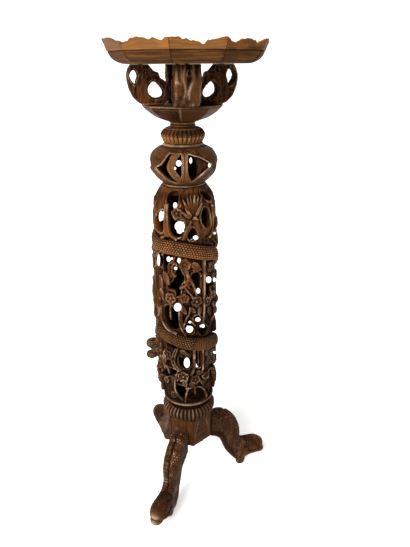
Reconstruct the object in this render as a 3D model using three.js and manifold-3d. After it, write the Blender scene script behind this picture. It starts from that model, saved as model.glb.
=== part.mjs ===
// Carved hardwood tripod stand: a ten-sided tray with a scalloped rim on four
// pierced brackets, a dished cup, a turned neck, a pierced bulb, a hollow
// openwork column with a serpent coiled round it, and a hexagonal base block
// with three scrolled legs.
// Millimetres, +Z up. The floor is z = 0, the front leg points along -Y (within 4 degrees), and
// the origin is the centre of the stand's bounding box at floor level.
// Angles called "phi" turn about the column's axis from -Y towards +X, degrees.

import * as THREE from 'three';
import { mergeVertices } from 'three/addons/utils/BufferGeometryUtils.js';
import Module from 'manifold-3d';

const wasm = await Module();
wasm.setup();

// ---------------------------------------------------------------- dimensions
const AXIS_X = -12.65;          // the column's axis, measured from the origin
const AXIS_Y = 19.43;
const GAP = 0.3;                // glue line kept between touching pieces
const FRONT = 15.4;             // phi that the carving's front faces

// tray
const TRAY_SIDES = 10;
const TRAY_CORNER = FRONT - 9.5;// phi of one corner of the tray
const TRAY_SHIFT = [12.05, 3.32]; // the tray was glued on this far off the column's axis
const TRAY_Z = 1000;            // underside
const FLOOR_T = 10;             // thickness of the floor panel
const FLOOR_A = 106;            // floor panel, centre to side
const TONGUE = 4;               // tongue depth and thickness
const RIM_TOP = 1044;           // highest point of the rim
const RIM_SLOPE = 0.40;         // outward run per unit of height near the lip

// brackets and cup
const BRACKET_PHI = FRONT + 9;
const BRACKET_W = 50;           // width across
const CUP_TOP = 929;
const CUP_SIDES = 8;
const DOWEL_R = 4;

// turned pieces on the axis
const NECK_TOP = 896.7, NECK_BOT = 888.3;
const COLLAR_BOT = 857.6;
const BULB_TOP = 857.3, BULB_BOT = 775.0;
const COL_TOP = 774.7, COL_BOT = 243.3;
const COL_BORE = 44;            // radius of the column's hollow
const RING_TOP = 243.0, RING_BOT = 209.6;
const SPIGOT_R = 11;            // upper spigot
const TENON_R = 15;             // bulb and base spigots

// base block and legs
const BLOCK_TOP = 209.3, BLOCK_BOT = 134;
const BLOCK_A = 48.5;           // centre to side
const LEG_W = 40;               // leg thickness across
const LEG_PHIS = { leg_front: -3.6, leg_right: 120, leg_left: 222.4 };
const BLOCK_FACES = [-3.6, 58, 120, 171, 222.4, 289.4]; // directions of the block's six sides
const MORTISE_W = 14, MORTISE_IN = 30, MORTISE_Z0 = 139, MORTISE_Z1 = 177;

// ------------------------------------------------------------------- helpers
const rad = THREE.MathUtils.degToRad;

// closed three.js geometry -> solid, with shared vertices merged and outward faces
function solid(geometry) {
  const g = geometry.clone();
  g.deleteAttribute('normal');
  if (g.attributes.uv) g.deleteAttribute('uv');
  const m = mergeVertices(g, 1e-4);
  const pos = m.attributes.position.array;
  const src = m.index.array;
  const tri = [];
  for (let i = 0; i < src.length; i += 3) {
    const [a, b, c] = [src[i], src[i + 1], src[i + 2]];
    if (a !== b && b !== c && c !== a) tri.push(a, b, c);
  }
  let vol = 0;
  const v = (k) => new THREE.Vector3(pos[3 * k], pos[3 * k + 1], pos[3 * k + 2]);
  for (let i = 0; i < tri.length; i += 3) vol += v(tri[i]).dot(v(tri[i + 1]).cross(v(tri[i + 2])));
  if (vol < 0) for (let i = 0; i < tri.length; i += 3) [tri[i], tri[i + 1]] = [tri[i + 1], tri[i]];
  return new wasm.Manifold(new wasm.Mesh({
    numProp: 3, vertProperties: new Float32Array(pos), triVerts: new Uint32Array(tri),
  }));
}

// solid -> three.js geometry
function geometryOf(manifold) {
  const mesh = manifold.getMesh();
  const g = new THREE.BufferGeometry();
  const n = mesh.numProp;
  const p = new Float32Array((mesh.vertProperties.length / n) * 3);
  for (let i = 0; i < p.length / 3; i++) for (let k = 0; k < 3; k++) p[3 * i + k] = mesh.vertProperties[n * i + k];
  g.setAttribute('position', new THREE.BufferAttribute(p, 3));
  g.setIndex(new THREE.BufferAttribute(new Uint32Array(mesh.triVerts), 1));
  g.computeVertexNormals();
  return g;
}

// solid of revolution about +Z; profile is [radius, z] pairs; shape(phi, r, z) may change r
function turned(profile, segments, phiStart = 0, shape = null) {
  const g = new THREE.LatheGeometry(profile.map(([r, z]) => new THREE.Vector2(r, z)), segments, rad(phiStart), Math.PI * 2);
  g.rotateX(Math.PI / 2);
  if (shape) {
    const p = g.attributes.position;
    for (let i = 0; i < p.count; i++) {
      const r = Math.hypot(p.getX(i), p.getY(i));
      if (r < 1e-6) continue;
      const phi = THREE.MathUtils.radToDeg(Math.atan2(p.getX(i), -p.getY(i)));
      const k = shape(phi, r, p.getZ(i)) / r;
      p.setXY(i, p.getX(i) * k, p.getY(i) * k);
    }
  }
  return solid(g);
}

function drum(r, z0, z1, segments = 24) {
  const g = new THREE.CylinderGeometry(r, r, z1 - z0, segments);
  g.rotateX(Math.PI / 2);
  g.translate(0, 0, (z0 + z1) / 2);
  return solid(g);
}

// places a solid drawn with +X outward into the direction phi
function turn(manifold, phi) {
  const m = new THREE.Matrix4().makeRotationZ(rad(phi - 90));
  return manifold.transform(m.elements);
}

// an outline in the (radius, z) plane given thickness w across, edges bevelled
function slab(outline, holes, w, bevel) {
  const points = outline.map(([r, z]) => new THREE.Vector2(r, z));
  if (THREE.ShapeUtils.isClockWise(points)) points.reverse();
  const s = new THREE.Shape(points);
  for (const h of holes) s.holes.push(new THREE.Path(h.map(([r, z]) => new THREE.Vector2(r, z))));
  const g = new THREE.ExtrudeGeometry(s, {
    depth: w - 2 * bevel, bevelEnabled: bevel > 0, bevelThickness: bevel, bevelSize: bevel,
    bevelOffset: -bevel, bevelSegments: 1, curveSegments: 8,
  });
  g.translate(0, 0, -(w - 2 * bevel) / 2);
  g.rotateX(Math.PI / 2);        // (radius, z, across) -> (X, Z, -Y)
  return solid(g);
}

// closed smooth loop through a few [x, y] points
function loop(points, n = 16) {
  const c = new THREE.CatmullRomCurve3(points.map(([x, y]) => new THREE.Vector3(x, y, 0)), true, 'centripetal');
  return c.getPoints(n).slice(0, n).map((p) => [p.x, p.y]);
}

// a cutter that runs radially inward at phi; outline is [across, z] about (0, 0)
function radialCutter(outline, phi, z, r0, r1) {
  const s = new THREE.Shape(outline.map(([a, b]) => new THREE.Vector2(a, b)));
  const g = new THREE.ExtrudeGeometry(s, { depth: r1 - r0, bevelEnabled: false });
  // shape x -> +Y (across), shape y -> +Z, depth -> +X
  const m = new THREE.Matrix4().set(0, 0, 1, r0, 1, 0, 0, 0, 0, 1, 0, z, 0, 0, 0, 1);
  g.applyMatrix4(m);
  return turn(solid(g), phi);
}

const ellipse = (a, b, n = 10) => Array.from({ length: n }, (_, i) => {
  const t = (2 * Math.PI * (i + 0.5)) / n;
  return [a * Math.cos(t), b * Math.sin(t)];
});

function curveThrough(knots, x) {
  for (let i = 0; i + 1 < knots.length; i++) {
    const [x0, y0] = knots[i];
    const [x1, y1] = knots[i + 1];
    if (x >= x0 && x <= x1) {
      const t = (x - x0) / (x1 - x0);
      return y0 + (y1 - y0) * (0.5 - 0.5 * Math.cos(Math.PI * t));
    }
  }
  return knots[knots.length - 1][1];
}

const group = new THREE.Group();
function piece(name, manifold, colour, roughness) {
  const mesh = new THREE.Mesh(geometryOf(manifold),
    new THREE.MeshStandardMaterial({ color: colour, roughness, metalness: 0 }));
  mesh.name = name;
  mesh.position.set(AXIS_X, AXIS_Y, 0);
  group.add(mesh);
}

// ---------------------------------------------------------------------- tray
const across = Math.cos(Math.PI / TRAY_SIDES);
{
  const r = (FLOOR_A - GAP / 2) / across;
  const t = (FLOOR_A + TONGUE - GAP) / across;
  const z = TRAY_Z;
  piece('tray_floor', turned([
    [0, z], [r, z], [r, z + 3], [t, z + 3], [t, z + 7], [r, z + 7], [r, z + FLOOR_T], [0, z + FLOOR_T],
  ], TRAY_SIDES, TRAY_CORNER).translate([...TRAY_SHIFT, 0])
    .subtract(dowelHoles(BRACKET_PHI, 77, TRAY_Z - 1, TRAY_Z + 6.3)), 0x7a4a26, 0.45);
}

function dowelHoles(phi0, radius, z0, z1) {
  let all = null;
  for (let k = 0; k < 4; k++) {
    const a = rad(phi0 + 90 * k);
    const d = drum(DOWEL_R + 0.15, z0, z1, 12).translate([radius * Math.sin(a), -radius * Math.cos(a), 0]);
    all = all ? all.add(d) : d;
  }
  return all;
}

// height of the rim's lip round the tray, by phi measured from the carving's front
const LIP = [
  [-100, 1041], [-84, 1043.8], [-78, 1043], [-72, 1043.8], [-62, 1041.3], [-55, 1037.5], [-44, 1032], [-33, 1041.7], [-24, 1036.8],
  [-20, 1039], [-15, 1036.2], [-6, 1040.2], [12, 1030.8], [25.5, 1040.4], [35, 1032.2], [47, 1039], [56, 1032], [64, 1038.8],
  [88, 1042.4], [103, 1036.5], [117, 1031], [130, 1038], [143, 1030], [158, 1039], [172, 1031], [186, 1039], [201, 1030],
  [215, 1039], [228, 1032], [242, 1041], [252, 1035], [260, 1041],
];
function lipHeight(phi) {
  let p = ((phi - FRONT) % 360 + 360) % 360;
  if (p > 260) p -= 360;
  return curveThrough(LIP, p);
}

// section of one rim board: [centre-to-side distance, z], groove for the floor's tongue
const BOARD = [
  [FLOOR_A + GAP / 2, TRAY_Z], [117, 1000.8], [126.8, 1004.8], [135.6, 1011.8], [140.2, 1021.2],
  [141.3, 1022.0], [149.2, RIM_TOP - 1.2], [147.4, RIM_TOP], [142.4, RIM_TOP - 1.0],
  [130.5, 1023], [121, 1014.8], [FLOOR_A + GAP / 2, TRAY_Z + FLOOR_T],
  [FLOOR_A + GAP / 2, TRAY_Z + 7.3], [FLOOR_A + TONGUE + GAP / 2, TRAY_Z + 7.3],
  [FLOOR_A + TONGUE + GAP / 2, TRAY_Z + 2.7], [FLOOR_A + GAP / 2, TRAY_Z + 2.7],
];
for (let k = 0; k < TRAY_SIDES; k++) {
  const mid = TRAY_CORNER + (360 / TRAY_SIDES) * (k + 0.5);
  const g = new THREE.ExtrudeGeometry(new THREE.Shape(BOARD.map(([a, z]) => new THREE.Vector2(a, z))),
    { depth: 1, steps: 6, bevelEnabled: false });
  const p = g.attributes.position;
  for (let i = 0; i < p.count; i++) {
    let a = p.getX(i);
    let z = p.getY(i);
    const s = 2 * p.getZ(i) - 1;
    const half = a * Math.tan(Math.PI / TRAY_SIDES) - GAP / 2;
    let t = s * half;
    if (z > 1022.5) {
      const drop = (RIM_TOP - lipHeight(mid + THREE.MathUtils.radToDeg(Math.atan2(t, a)))) * (z - 1022.5) / (RIM_TOP - 1022.5);
      z -= drop;
      a -= drop * RIM_SLOPE;
      t = s * (a * Math.tan(Math.PI / TRAY_SIDES) - GAP / 2);
    }
    p.setXYZ(i, a, t, z);
  }
  piece(`tray_rim_${k + 1}`, turn(solid(g), mid).translate([...TRAY_SHIFT, 0]), 0x8f5a2e, 0.42);
}

// ------------------------------------------------------- brackets and dowels
// side view of one bracket: main stem, ear with a small hole, branch to the core
const BRACKET = [
  [96, TRAY_Z - GAP], [101.5, 992], [104.5, 983], [104, 971], [101, 957], [94, 943], [84, 933.5], [76, CUP_TOP + GAP],
  [38, CUP_TOP + GAP], [28, 936], [27.2, 948], [27.2, 966], [34, 972], [42, 977], [45, 986], [53, 988.5], [58, 994],
  [63, TRAY_Z - GAP],
];
const EAR_HOLE = loop([[92, 990], [98.5, 982], [96.5, 970.5], [90.5, 971], [86.5, 980]], 8);
const WEB_HOLE = loop([[57, 971], [67, 962], [67, 950], [57, 941], [44, 941], [38, 949], [44, 962]], 12);
for (const [k, name] of ['cup_bracket_front', 'cup_bracket_right', 'cup_bracket_back', 'cup_bracket_left'].entries()) {
  const body = slab(BRACKET, [EAR_HOLE, WEB_HOLE], BRACKET_W, 1.5)
    .subtract(drum(DOWEL_R + 0.15, 980, 1001, 12).translate([77, 0, 0]))
    .subtract(drum(DOWEL_R + 0.15, 928, 940.8, 12).translate([66, 0, 0]));
  piece(name, turn(body, BRACKET_PHI + 90 * k), 0x5d3319, 0.4);
}
for (let k = 0; k < 4; k++) {
  const at = (r) => [r * Math.sin(rad(BRACKET_PHI + 90 * k)), -r * Math.cos(rad(BRACKET_PHI + 90 * k)), 0];
  piece(`dowel_tray_${k + 1}`, drum(DOWEL_R, 980.5, TRAY_Z + 6, 12).translate(at(77)), 0xb08a58, 0.7);
  piece(`dowel_cup_${k + 1}`, drum(DOWEL_R, 923.8, 940.5, 12).translate(at(66)), 0xb08a58, 0.7);
}

// ---------------------------------------------------------------------- cup
piece('cup_bowl', turned([
  [0, 897], [27, 897], [33, 898.6], [47, 903], [58.5, 909], [69.5, 917], [77, 924], [79, 927], [78.2, CUP_TOP], [0, CUP_TOP],
], CUP_SIDES * 2, FRONT - 1, (phi, r, z) => {
  // eight sides: every second column of points is drawn in to the middle of a side
  const k = Math.round((phi - FRONT + 1) / 22.5);
  return k % 2 ? r * Math.cos(rad(22.5)) * 1.015 : r;
})
  .subtract(drum(SPIGOT_R + 0.15, 890, 915, 20))
  .subtract(dowelHoles(BRACKET_PHI, 66, 923.5, 935)), 0x6a3d1e, 0.42);

// ---------------------------------------------------------- neck and collar
piece('neck_ring', turned([
  [SPIGOT_R + 0.15, NECK_BOT], [23.4, NECK_BOT], [25.4, NECK_BOT + 2.2], [24.4, NECK_BOT + 5], [26, NECK_TOP],
  [SPIGOT_R + 0.15, NECK_TOP], [SPIGOT_R + 0.15, NECK_BOT],
], 32), 0x6a3d1e, 0.4);

piece('gadroon_collar', turned([
  [SPIGOT_R + 0.15, COLLAR_BOT], [37.5, COLLAR_BOT], [39.8, 862], [42.8, 868], [44, 872.5], [42.6, 878], [38, 883.5], [31, 887],
  [25, 888], [SPIGOT_R + 0.15, 888], [SPIGOT_R + 0.15, COLLAR_BOT],
], 32), 0x6a3d1e, 0.4);

// --------------------------------------------------------------------- bulb
{
  const shell = turned([
    [SPIGOT_R + 0.15, BULB_TOP], [38.5, BULB_TOP], [40.5, 854], [52.5, 849], [61, 841], [66.3, 832.5], [68.9, 821.5],
    [67.2, 810], [60.6, 797], [50.5, 785.5], [43, 778.5], [42.6, BULB_BOT], [TENON_R + 0.15, BULB_BOT], [TENON_R + 0.15, 785],
    [38, 785], [55, 802], [60.2, 819], [56, 835], [40, 847], [SPIGOT_R + 0.15, 847],
    [SPIGOT_R + 0.15, BULB_TOP],
  ], 32, FRONT + 3);
  // three lens-shaped windows, each with a middle petal and two side petals left standing
  let cut = null;
  for (let k = 0; k < 3; k++) {
    const w = FRONT + 3 + 120 * k;
    for (const side of [-1, 1]) {
      const oval = radialCutter(loop([[-6.5, 0], [-4.5, 15], [0, 21], [5, 14], [6.5, 0], [4.5, -15], [0, -21], [-5, -14]], 12), w + side * 12, 817, 20, 95);
      const crescent = radialCutter([[-10.5 * side, 17], [-6 * side, 0], [-10 * side, -19], [11 * side, 0]].map(([a, b]) => [a, b]), w + side * 39, 818, 20, 95);
      cut = cut ? cut.add(oval).add(crescent) : oval.add(crescent);
    }
  }
  piece('bulb', shell.subtract(cut), 0x6f4322, 0.4);
}
piece('neck_spigot', drum(SPIGOT_R, 847.3, 914.5, 20), 0xb08a58, 0.7);
piece('bulb_spigot', drum(TENON_R, 756, 784.6, 20), 0xb08a58, 0.7);

// ------------------------------------------------------------------- column
{
  const OUT = [
    [COL_TOP, 47], [760, 56], [743, 61.5], [715, 65.5], [660, 68.2], [600, 68.6], [530, 68.8],
    [465, 65.5], [390, 68], [318, 66.6], [290, 63], [262, 57], [COL_BOT, 50],
  ];
  const profile = [[TENON_R + 0.15, COL_TOP], ...OUT.map(([z, r]) => [r, z]), [TENON_R + 0.15, COL_BOT], [TENON_R + 0.15, 261],
    [38, 261], [COL_BORE, 268], [COL_BORE, 737], [34, 754], [TENON_R + 0.15, 757], [TENON_R + 0.15, COL_TOP]];
  let body = turned(profile, 32);

  // the serpent's body: [phi from the carving's front, z], wound twice round the log
  const COIL = [
    [-168, 688], [-120, 668], [-65, 655], [-22, 655], [11, 649], [50, 636], [71, 629], [110, 600], [150, 562], [190, 524],
    [230, 490], [265, 466], [295, 449], [333, 441], [370, 430], [406, 421], [427, 416], [448, 407], [466, 398], [496, 386],
    [530, 370], [555, 360], [585, 350], [612, 347],
  ];
  const at = ([phi, z]) => new THREE.Vector3(58 * Math.sin(rad(phi + FRONT)), -58 * Math.cos(rad(phi + FRONT)), z);
  const dense = [];
  for (let i = 0; i + 1 < COIL.length; i++) {
    const n = Math.max(1, Math.round((COIL[i + 1][0] - COIL[i][0]) / 20));
    for (let j = 0; j < n; j++) dense.push([COIL[i][0] + (COIL[i + 1][0] - COIL[i][0]) * j / n, COIL[i][1] + (COIL[i + 1][1] - COIL[i][1]) * j / n]);
  }
  dense.push(COIL[COIL.length - 1]);
  const path = new THREE.CatmullRomCurve3(dense.map(at), false, 'centripetal');
  const section = new THREE.Shape(ellipse(14.6, 14.6, 8).map(([a, b]) => new THREE.Vector2(a, b)));
  const coil = solid(new THREE.ExtrudeGeometry(section, { steps: 48, bevelEnabled: false, extrudePath: path }));

  // the serpent's head and a sprig that stand proud on the left side
  const boss = (phi, z, r, a, b, c) => {
    const g = new THREE.SphereGeometry(1, 10, 8);
    g.scale(a, b, c);
    g.translate(r, 0, z);
    return turn(solid(g), phi + FRONT);
  };
  const head = boss(-91, 390, 70.5, 22.5, 22, 29);
  const sprig = boss(-84, 372, 66, 8, 14, 10);

  // the openwork: [phi from front, z, half width, half height]
  const OPEN = [
    [-20, 752, 11, 9], [-50, 712, 10, 24], [-15, 704, 17, 25], [11, 690, 9.5, 14], [43, 717, 10, 24], [67, 722, 7, 28],
    [98, 712, 13, 24], [128, 716, 13, 22], [160, 718, 13, 24], [192, 716, 14, 24], [224, 712, 13, 24], [256, 712, 13, 24],
    [-50, 600, 8, 19], [-24, 612, 9, 10], [0, 572, 9, 14], [-14, 522, 11, 18], [24, 545, 8, 14], [46, 556, 7, 12],
    [-35, 478, 13, 15], [-3, 478, 8, 15], [22, 476, 8, 14], [50, 488, 8, 14], [-66, 545, 9, 20],
    [94, 522, 13, 22], [124, 500, 11, 16], [152, 612, 13, 18], [190, 570, 12, 17], [222, 560, 12, 22], [256, 590, 12, 22],
    [160, 476, 12, 14], [285, 610, 9, 15], [192, 624, 12, 14], [228, 620, 11, 16],
    [3, 388, 11, 13], [-12, 308, 9, 10], [-34, 281, 9, 8], [6, 283, 13, 9], [55, 330, 9, 13],
    [88, 320, 12, 20], [122, 350, 13, 22], [158, 330, 13, 24], [192, 345, 12, 22], [224, 325, 12, 22], [256, 300, 11, 16],
    [90, 368, 11, 12],
  ];
  let cut = null;
  for (const [phi, z, a, b] of OPEN) {
    const c = radialCutter(ellipse(a, b, 8), phi + FRONT, z, 30, 90);
    cut = cut ? cut.add(c) : c;
  }
  body = body.subtract(cut);
  // the coil is carved on the outside of the log only, so it stays clear of the bore
  const bore = drum(COL_BORE, 261, 745, 40);
  body = body.add(coil.subtract(bore)).add(head.subtract(bore)).add(sprig.subtract(bore));
  piece('column', body, 0x5f3820, 0.42);
}

// ---------------------------------------------------------- ring and block
piece('base_ring', turned([
  [TENON_R + 0.15, RING_BOT], [51, RING_BOT], [58, 215.5], [63.2, 226], [63, 233], [57.5, 240.2], [50.5, RING_TOP],
  [TENON_R + 0.15, RING_TOP], [TENON_R + 0.15, RING_BOT],
], 36), 0x5f3820, 0.42);
piece('base_spigot', drum(TENON_R, 179.5, 260.5, 20), 0xb08a58, 0.7);

{
  // each corner is where two neighbouring sides meet
  const corners = BLOCK_FACES.map((a, i) => {
    const b = BLOCK_FACES[(i + 1) % 6] + (i === 5 ? 360 : 0);
    const m = rad((a + b) / 2);
    const r = BLOCK_A / Math.cos(rad((b - a) / 2));
    return new THREE.Vector2(r * Math.sin(m), -r * Math.cos(m));
  });
  const prism = new THREE.ExtrudeGeometry(new THREE.Shape(corners), { depth: BLOCK_TOP - BLOCK_BOT, bevelEnabled: false });
  prism.translate(0, 0, BLOCK_BOT);
  let block = solid(prism).subtract(drum(TENON_R + 0.15, 179, 215, 20));
  for (const phi of Object.values(LEG_PHIS)) {
    const g = new THREE.BoxGeometry(60 - MORTISE_IN, MORTISE_W, MORTISE_Z1 - MORTISE_Z0);
    g.translate((60 + MORTISE_IN) / 2, 0, (MORTISE_Z0 + MORTISE_Z1) / 2);
    block = block.subtract(turn(solid(g), phi));
  }
  piece('base_block', block, 0x7a4a26, 0.45);
}

// --------------------------------------------------------------------- legs
// side view of one leg: hip, knee, shank, and a scrolled foot held off the floor by a ball
const ROOT = BLOCK_A + GAP;
const LEG = [
  [ROOT, 180], [58, 184], [72, 188], [89, 185.5], [95, 178.5], [100, 179.5], [112, 169], [124, 154], [133, 137], [137, 119],
  [137.2, 102], [138.5, 90], [148, 82], [161, 80], [175, 78], [188, 73], [198, 62], [204.5, 51], [206.2, 41], [203.5, 34.5], [196, 33.5],
  [182, 33], [168, 30], [157, 24], [146, 17], [131, 17], [120, 25], [107, 41], [95.5, 59], [85, 80], [78, 97], [71.5, 106],
  [62, 113], [ROOT, 121],
];
// the three feet differ a little: how much further out each tip reaches, and how much higher it is
const REACH = { leg_front: [4, 0], leg_right: [-2.5, 0], leg_left: [12, 3] };
for (const [name, phi] of Object.entries(LEG_PHIS)) {
  const toe = new THREE.SphereGeometry(1, 12, 8);
  toe.scale(24.5, 24, 23.5);
  toe.translate(182.2, 0, 54.5);
  const ball = new THREE.CylinderGeometry(13, 9.5, 22, 12);
  ball.rotateX(Math.PI / 2);
  ball.translate(143.5, 0, 11);
  const tenon = new THREE.BoxGeometry(ROOT + 1 - (MORTISE_IN + 0.5), MORTISE_W - 2 * GAP, MORTISE_Z1 - MORTISE_Z0 - 2 * GAP);
  tenon.translate((ROOT + 1 + MORTISE_IN + 0.5) / 2, 0, (MORTISE_Z0 + MORTISE_Z1) / 2);
  const [out, up] = REACH[name];
  const foot = slab(LEG, [], LEG_W, 4).subtract(rootTrim()).add(solid(toe)).warp((v) => {
    const t = Math.min(1, Math.max(0, (v[0] - 148) / 52));
    const k = t * t * (3 - 2 * t);
    v[0] += out * k;
    v[2] += up * k;
  });
  const leg = foot.add(solid(ball)).add(solid(tenon));
  piece(name, turn(leg, phi), 0x6d3f20, 0.42);
}
// trims the bevel at the hip so that its end is flat against the block
function rootTrim() {
  const g = new THREE.BoxGeometry(10, 80, 120);
  g.translate(ROOT - 5, 0, 150);
  return solid(g);
}

export default group;
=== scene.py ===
import math

import bpy
import bmesh
import numpy as np
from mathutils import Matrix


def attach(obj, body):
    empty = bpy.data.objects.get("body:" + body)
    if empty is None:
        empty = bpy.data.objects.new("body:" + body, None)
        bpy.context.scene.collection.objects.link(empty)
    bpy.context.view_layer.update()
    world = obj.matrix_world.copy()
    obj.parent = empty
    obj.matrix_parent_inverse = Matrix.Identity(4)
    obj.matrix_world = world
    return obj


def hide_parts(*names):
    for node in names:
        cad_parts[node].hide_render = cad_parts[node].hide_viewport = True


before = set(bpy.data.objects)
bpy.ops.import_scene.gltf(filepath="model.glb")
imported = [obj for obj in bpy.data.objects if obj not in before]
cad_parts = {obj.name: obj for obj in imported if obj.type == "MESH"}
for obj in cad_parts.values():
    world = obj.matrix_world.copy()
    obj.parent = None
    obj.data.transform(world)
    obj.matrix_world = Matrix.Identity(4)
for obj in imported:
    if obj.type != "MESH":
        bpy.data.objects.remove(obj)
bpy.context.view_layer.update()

MM = 0.001
AXIS_X = -12.65        # the column's axis, measured from the box's centre
AXIS_Y = 19.43
TRAY_X, TRAY_Y = 12.05, 3.32   # how far the tray sits off the column's axis
LEG_PHI = {"front": -3.6, "right": 120.0, "left": 222.4}
BLOCK_FACES = (-3.6, 58.0, 120.0, 171.0, 222.4, 289.4)
PITCH = math.radians(23.11)    # the view looks down by this much
ROLL = math.radians(-0.29)
FRONT = 15.4           # direction that the carving's front faces
R0 = 66.0              # radius at which the column's carving is laid out
DEG = math.pi / 180
f4 = np.float32


# ------------------------------------------------------------------ small maths
def noise2(nu, nz, cu, cz, seed, wrap=True):
    """smooth noise map, nu by nz, from cu by cz random values, -1 to 1, closed round the first axis"""
    rng = np.random.default_rng(seed)
    g = rng.uniform(-1, 1, (cu + 1, cz + 2)).astype(f4)
    if wrap:
        g[-1] = g[0]
    a = np.linspace(0, cu, nu, endpoint=False)
    b = np.linspace(0, cz, nz)
    ia, ib = a.astype(int), b.astype(int)
    fa, fb = a - ia, b - ib
    fa, fb = (fa * fa * (3 - 2 * fa))[:, None], (fb * fb * (3 - 2 * fb))[None, :]
    g00, g10 = g[ia][:, ib], g[ia + 1][:, ib]
    g01, g11 = g[ia][:, ib + 1], g[ia + 1][:, ib + 1]
    return ((g00 * (1 - fa) + g10 * fa) * (1 - fb) + (g01 * (1 - fa) + g11 * fa) * fb).astype(f4)


def hash3(i, j, k, seed):
    h = (i * 374761393 + j * 668265263 + k * 2147483647 + seed * 1274126177).astype(np.int64)
    h = (h ^ (h >> 13)) * 1103515245
    h = h ^ (h >> 16)
    return ((h & 0xFFFF).astype(f4) / 32767.5 - 1)


def noise3(x, y, z, seed):
    """smooth noise at any points, -1 to 1, one cell per unit"""
    x, y, z = np.broadcast_arrays(x, y, z)
    i, j, k = np.floor(x).astype(np.int64), np.floor(y).astype(np.int64), np.floor(z).astype(np.int64)
    u, v, w = x - i, y - j, z - k
    u, v, w = u * u * (3 - 2 * u), v * v * (3 - 2 * v), w * w * (3 - 2 * w)
    out = 0
    for a in (0, 1):
        for b in (0, 1):
            for c in (0, 1):
                out = out + hash3(i + a, j + b, k + c, seed) * (u if a else 1 - u) * (v if b else 1 - v) * (w if c else 1 - w)
    return out.astype(f4)


def smooth(a, b, x):
    t = np.clip((x - a) / (b - a), 0, 1)
    return t * t * (3 - 2 * t)


def spline(points, per=5, closed=False):
    """points along a smooth curve through the given ones"""
    p = np.asarray(points, float)
    n = len(p)
    if n < 3 and not closed:
        t = np.linspace(0, 1, per + 1)[:, None]
        return p[0] + (p[-1] - p[0]) * t
    get = (lambda i: p[i % n]) if closed else (lambda i: p[min(max(i, 0), n - 1)])
    out = []
    for i in range(n if closed else n - 1):
        a, b, c, d = get(i - 1), get(i), get(i + 1), get(i + 2)
        for t in np.arange(per) / per:
            out.append(0.5 * (2 * b + (c - a) * t + (2 * a - 5 * b + 4 * c - d) * t * t + (3 * b - a - 3 * c + d) * t ** 3))
    if not closed:
        out.append(p[-1])
    return np.array(out)


def poly_sd(x, y, poly):
    """signed distance to a closed outline, negative inside"""
    d2 = np.full(np.broadcast(x, y).shape, 1e9, f4)
    odd = np.zeros(d2.shape, bool)
    for a, b in zip(poly, np.roll(poly, -1, 0)):
        ex, ey = b[0] - a[0], b[1] - a[1]
        wx, wy = x - a[0], y - a[1]
        t = np.clip((wx * ex + wy * ey) / (ex * ex + ey * ey + 1e-9), 0, 1)
        d2 = np.minimum(d2, (wx - ex * t) ** 2 + (wy - ey * t) ** 2)
        if abs(ey) > 1e-9:
            odd ^= ((a[1] > y) != (b[1] > y)) & (x < ex * (y - a[1]) / ey + a[0])
    return np.where(odd, -1, 1) * np.sqrt(d2)


def line_sd(x, y, pts):
    """distance to an open line, how far along it the nearest point is (0 to 1), and the side"""
    seg = np.hypot(*(pts[1:] - pts[:-1]).T)
    total = seg.sum() + 1e-9
    best = np.full(np.broadcast(x, y).shape, 1e9, f4)
    where = np.zeros(best.shape, f4)
    side = np.zeros(best.shape, f4)
    run = 0.0
    for a, b, ln in zip(pts[:-1], pts[1:], seg):
        ex, ey = b[0] - a[0], b[1] - a[1]
        wx, wy = x - a[0], y - a[1]
        t = np.clip((wx * ex + wy * ey) / (ex * ex + ey * ey + 1e-9), 0, 1)
        d = np.hypot(wx - ex * t, wy - ey * t)
        m = d < best
        best = np.where(m, d, best)
        where = np.where(m, (run + t * ln) / total, where)
        side = np.where(m, np.sign(ex * wy - ey * wx), side)
        run += ln
    return best, where, side


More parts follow.
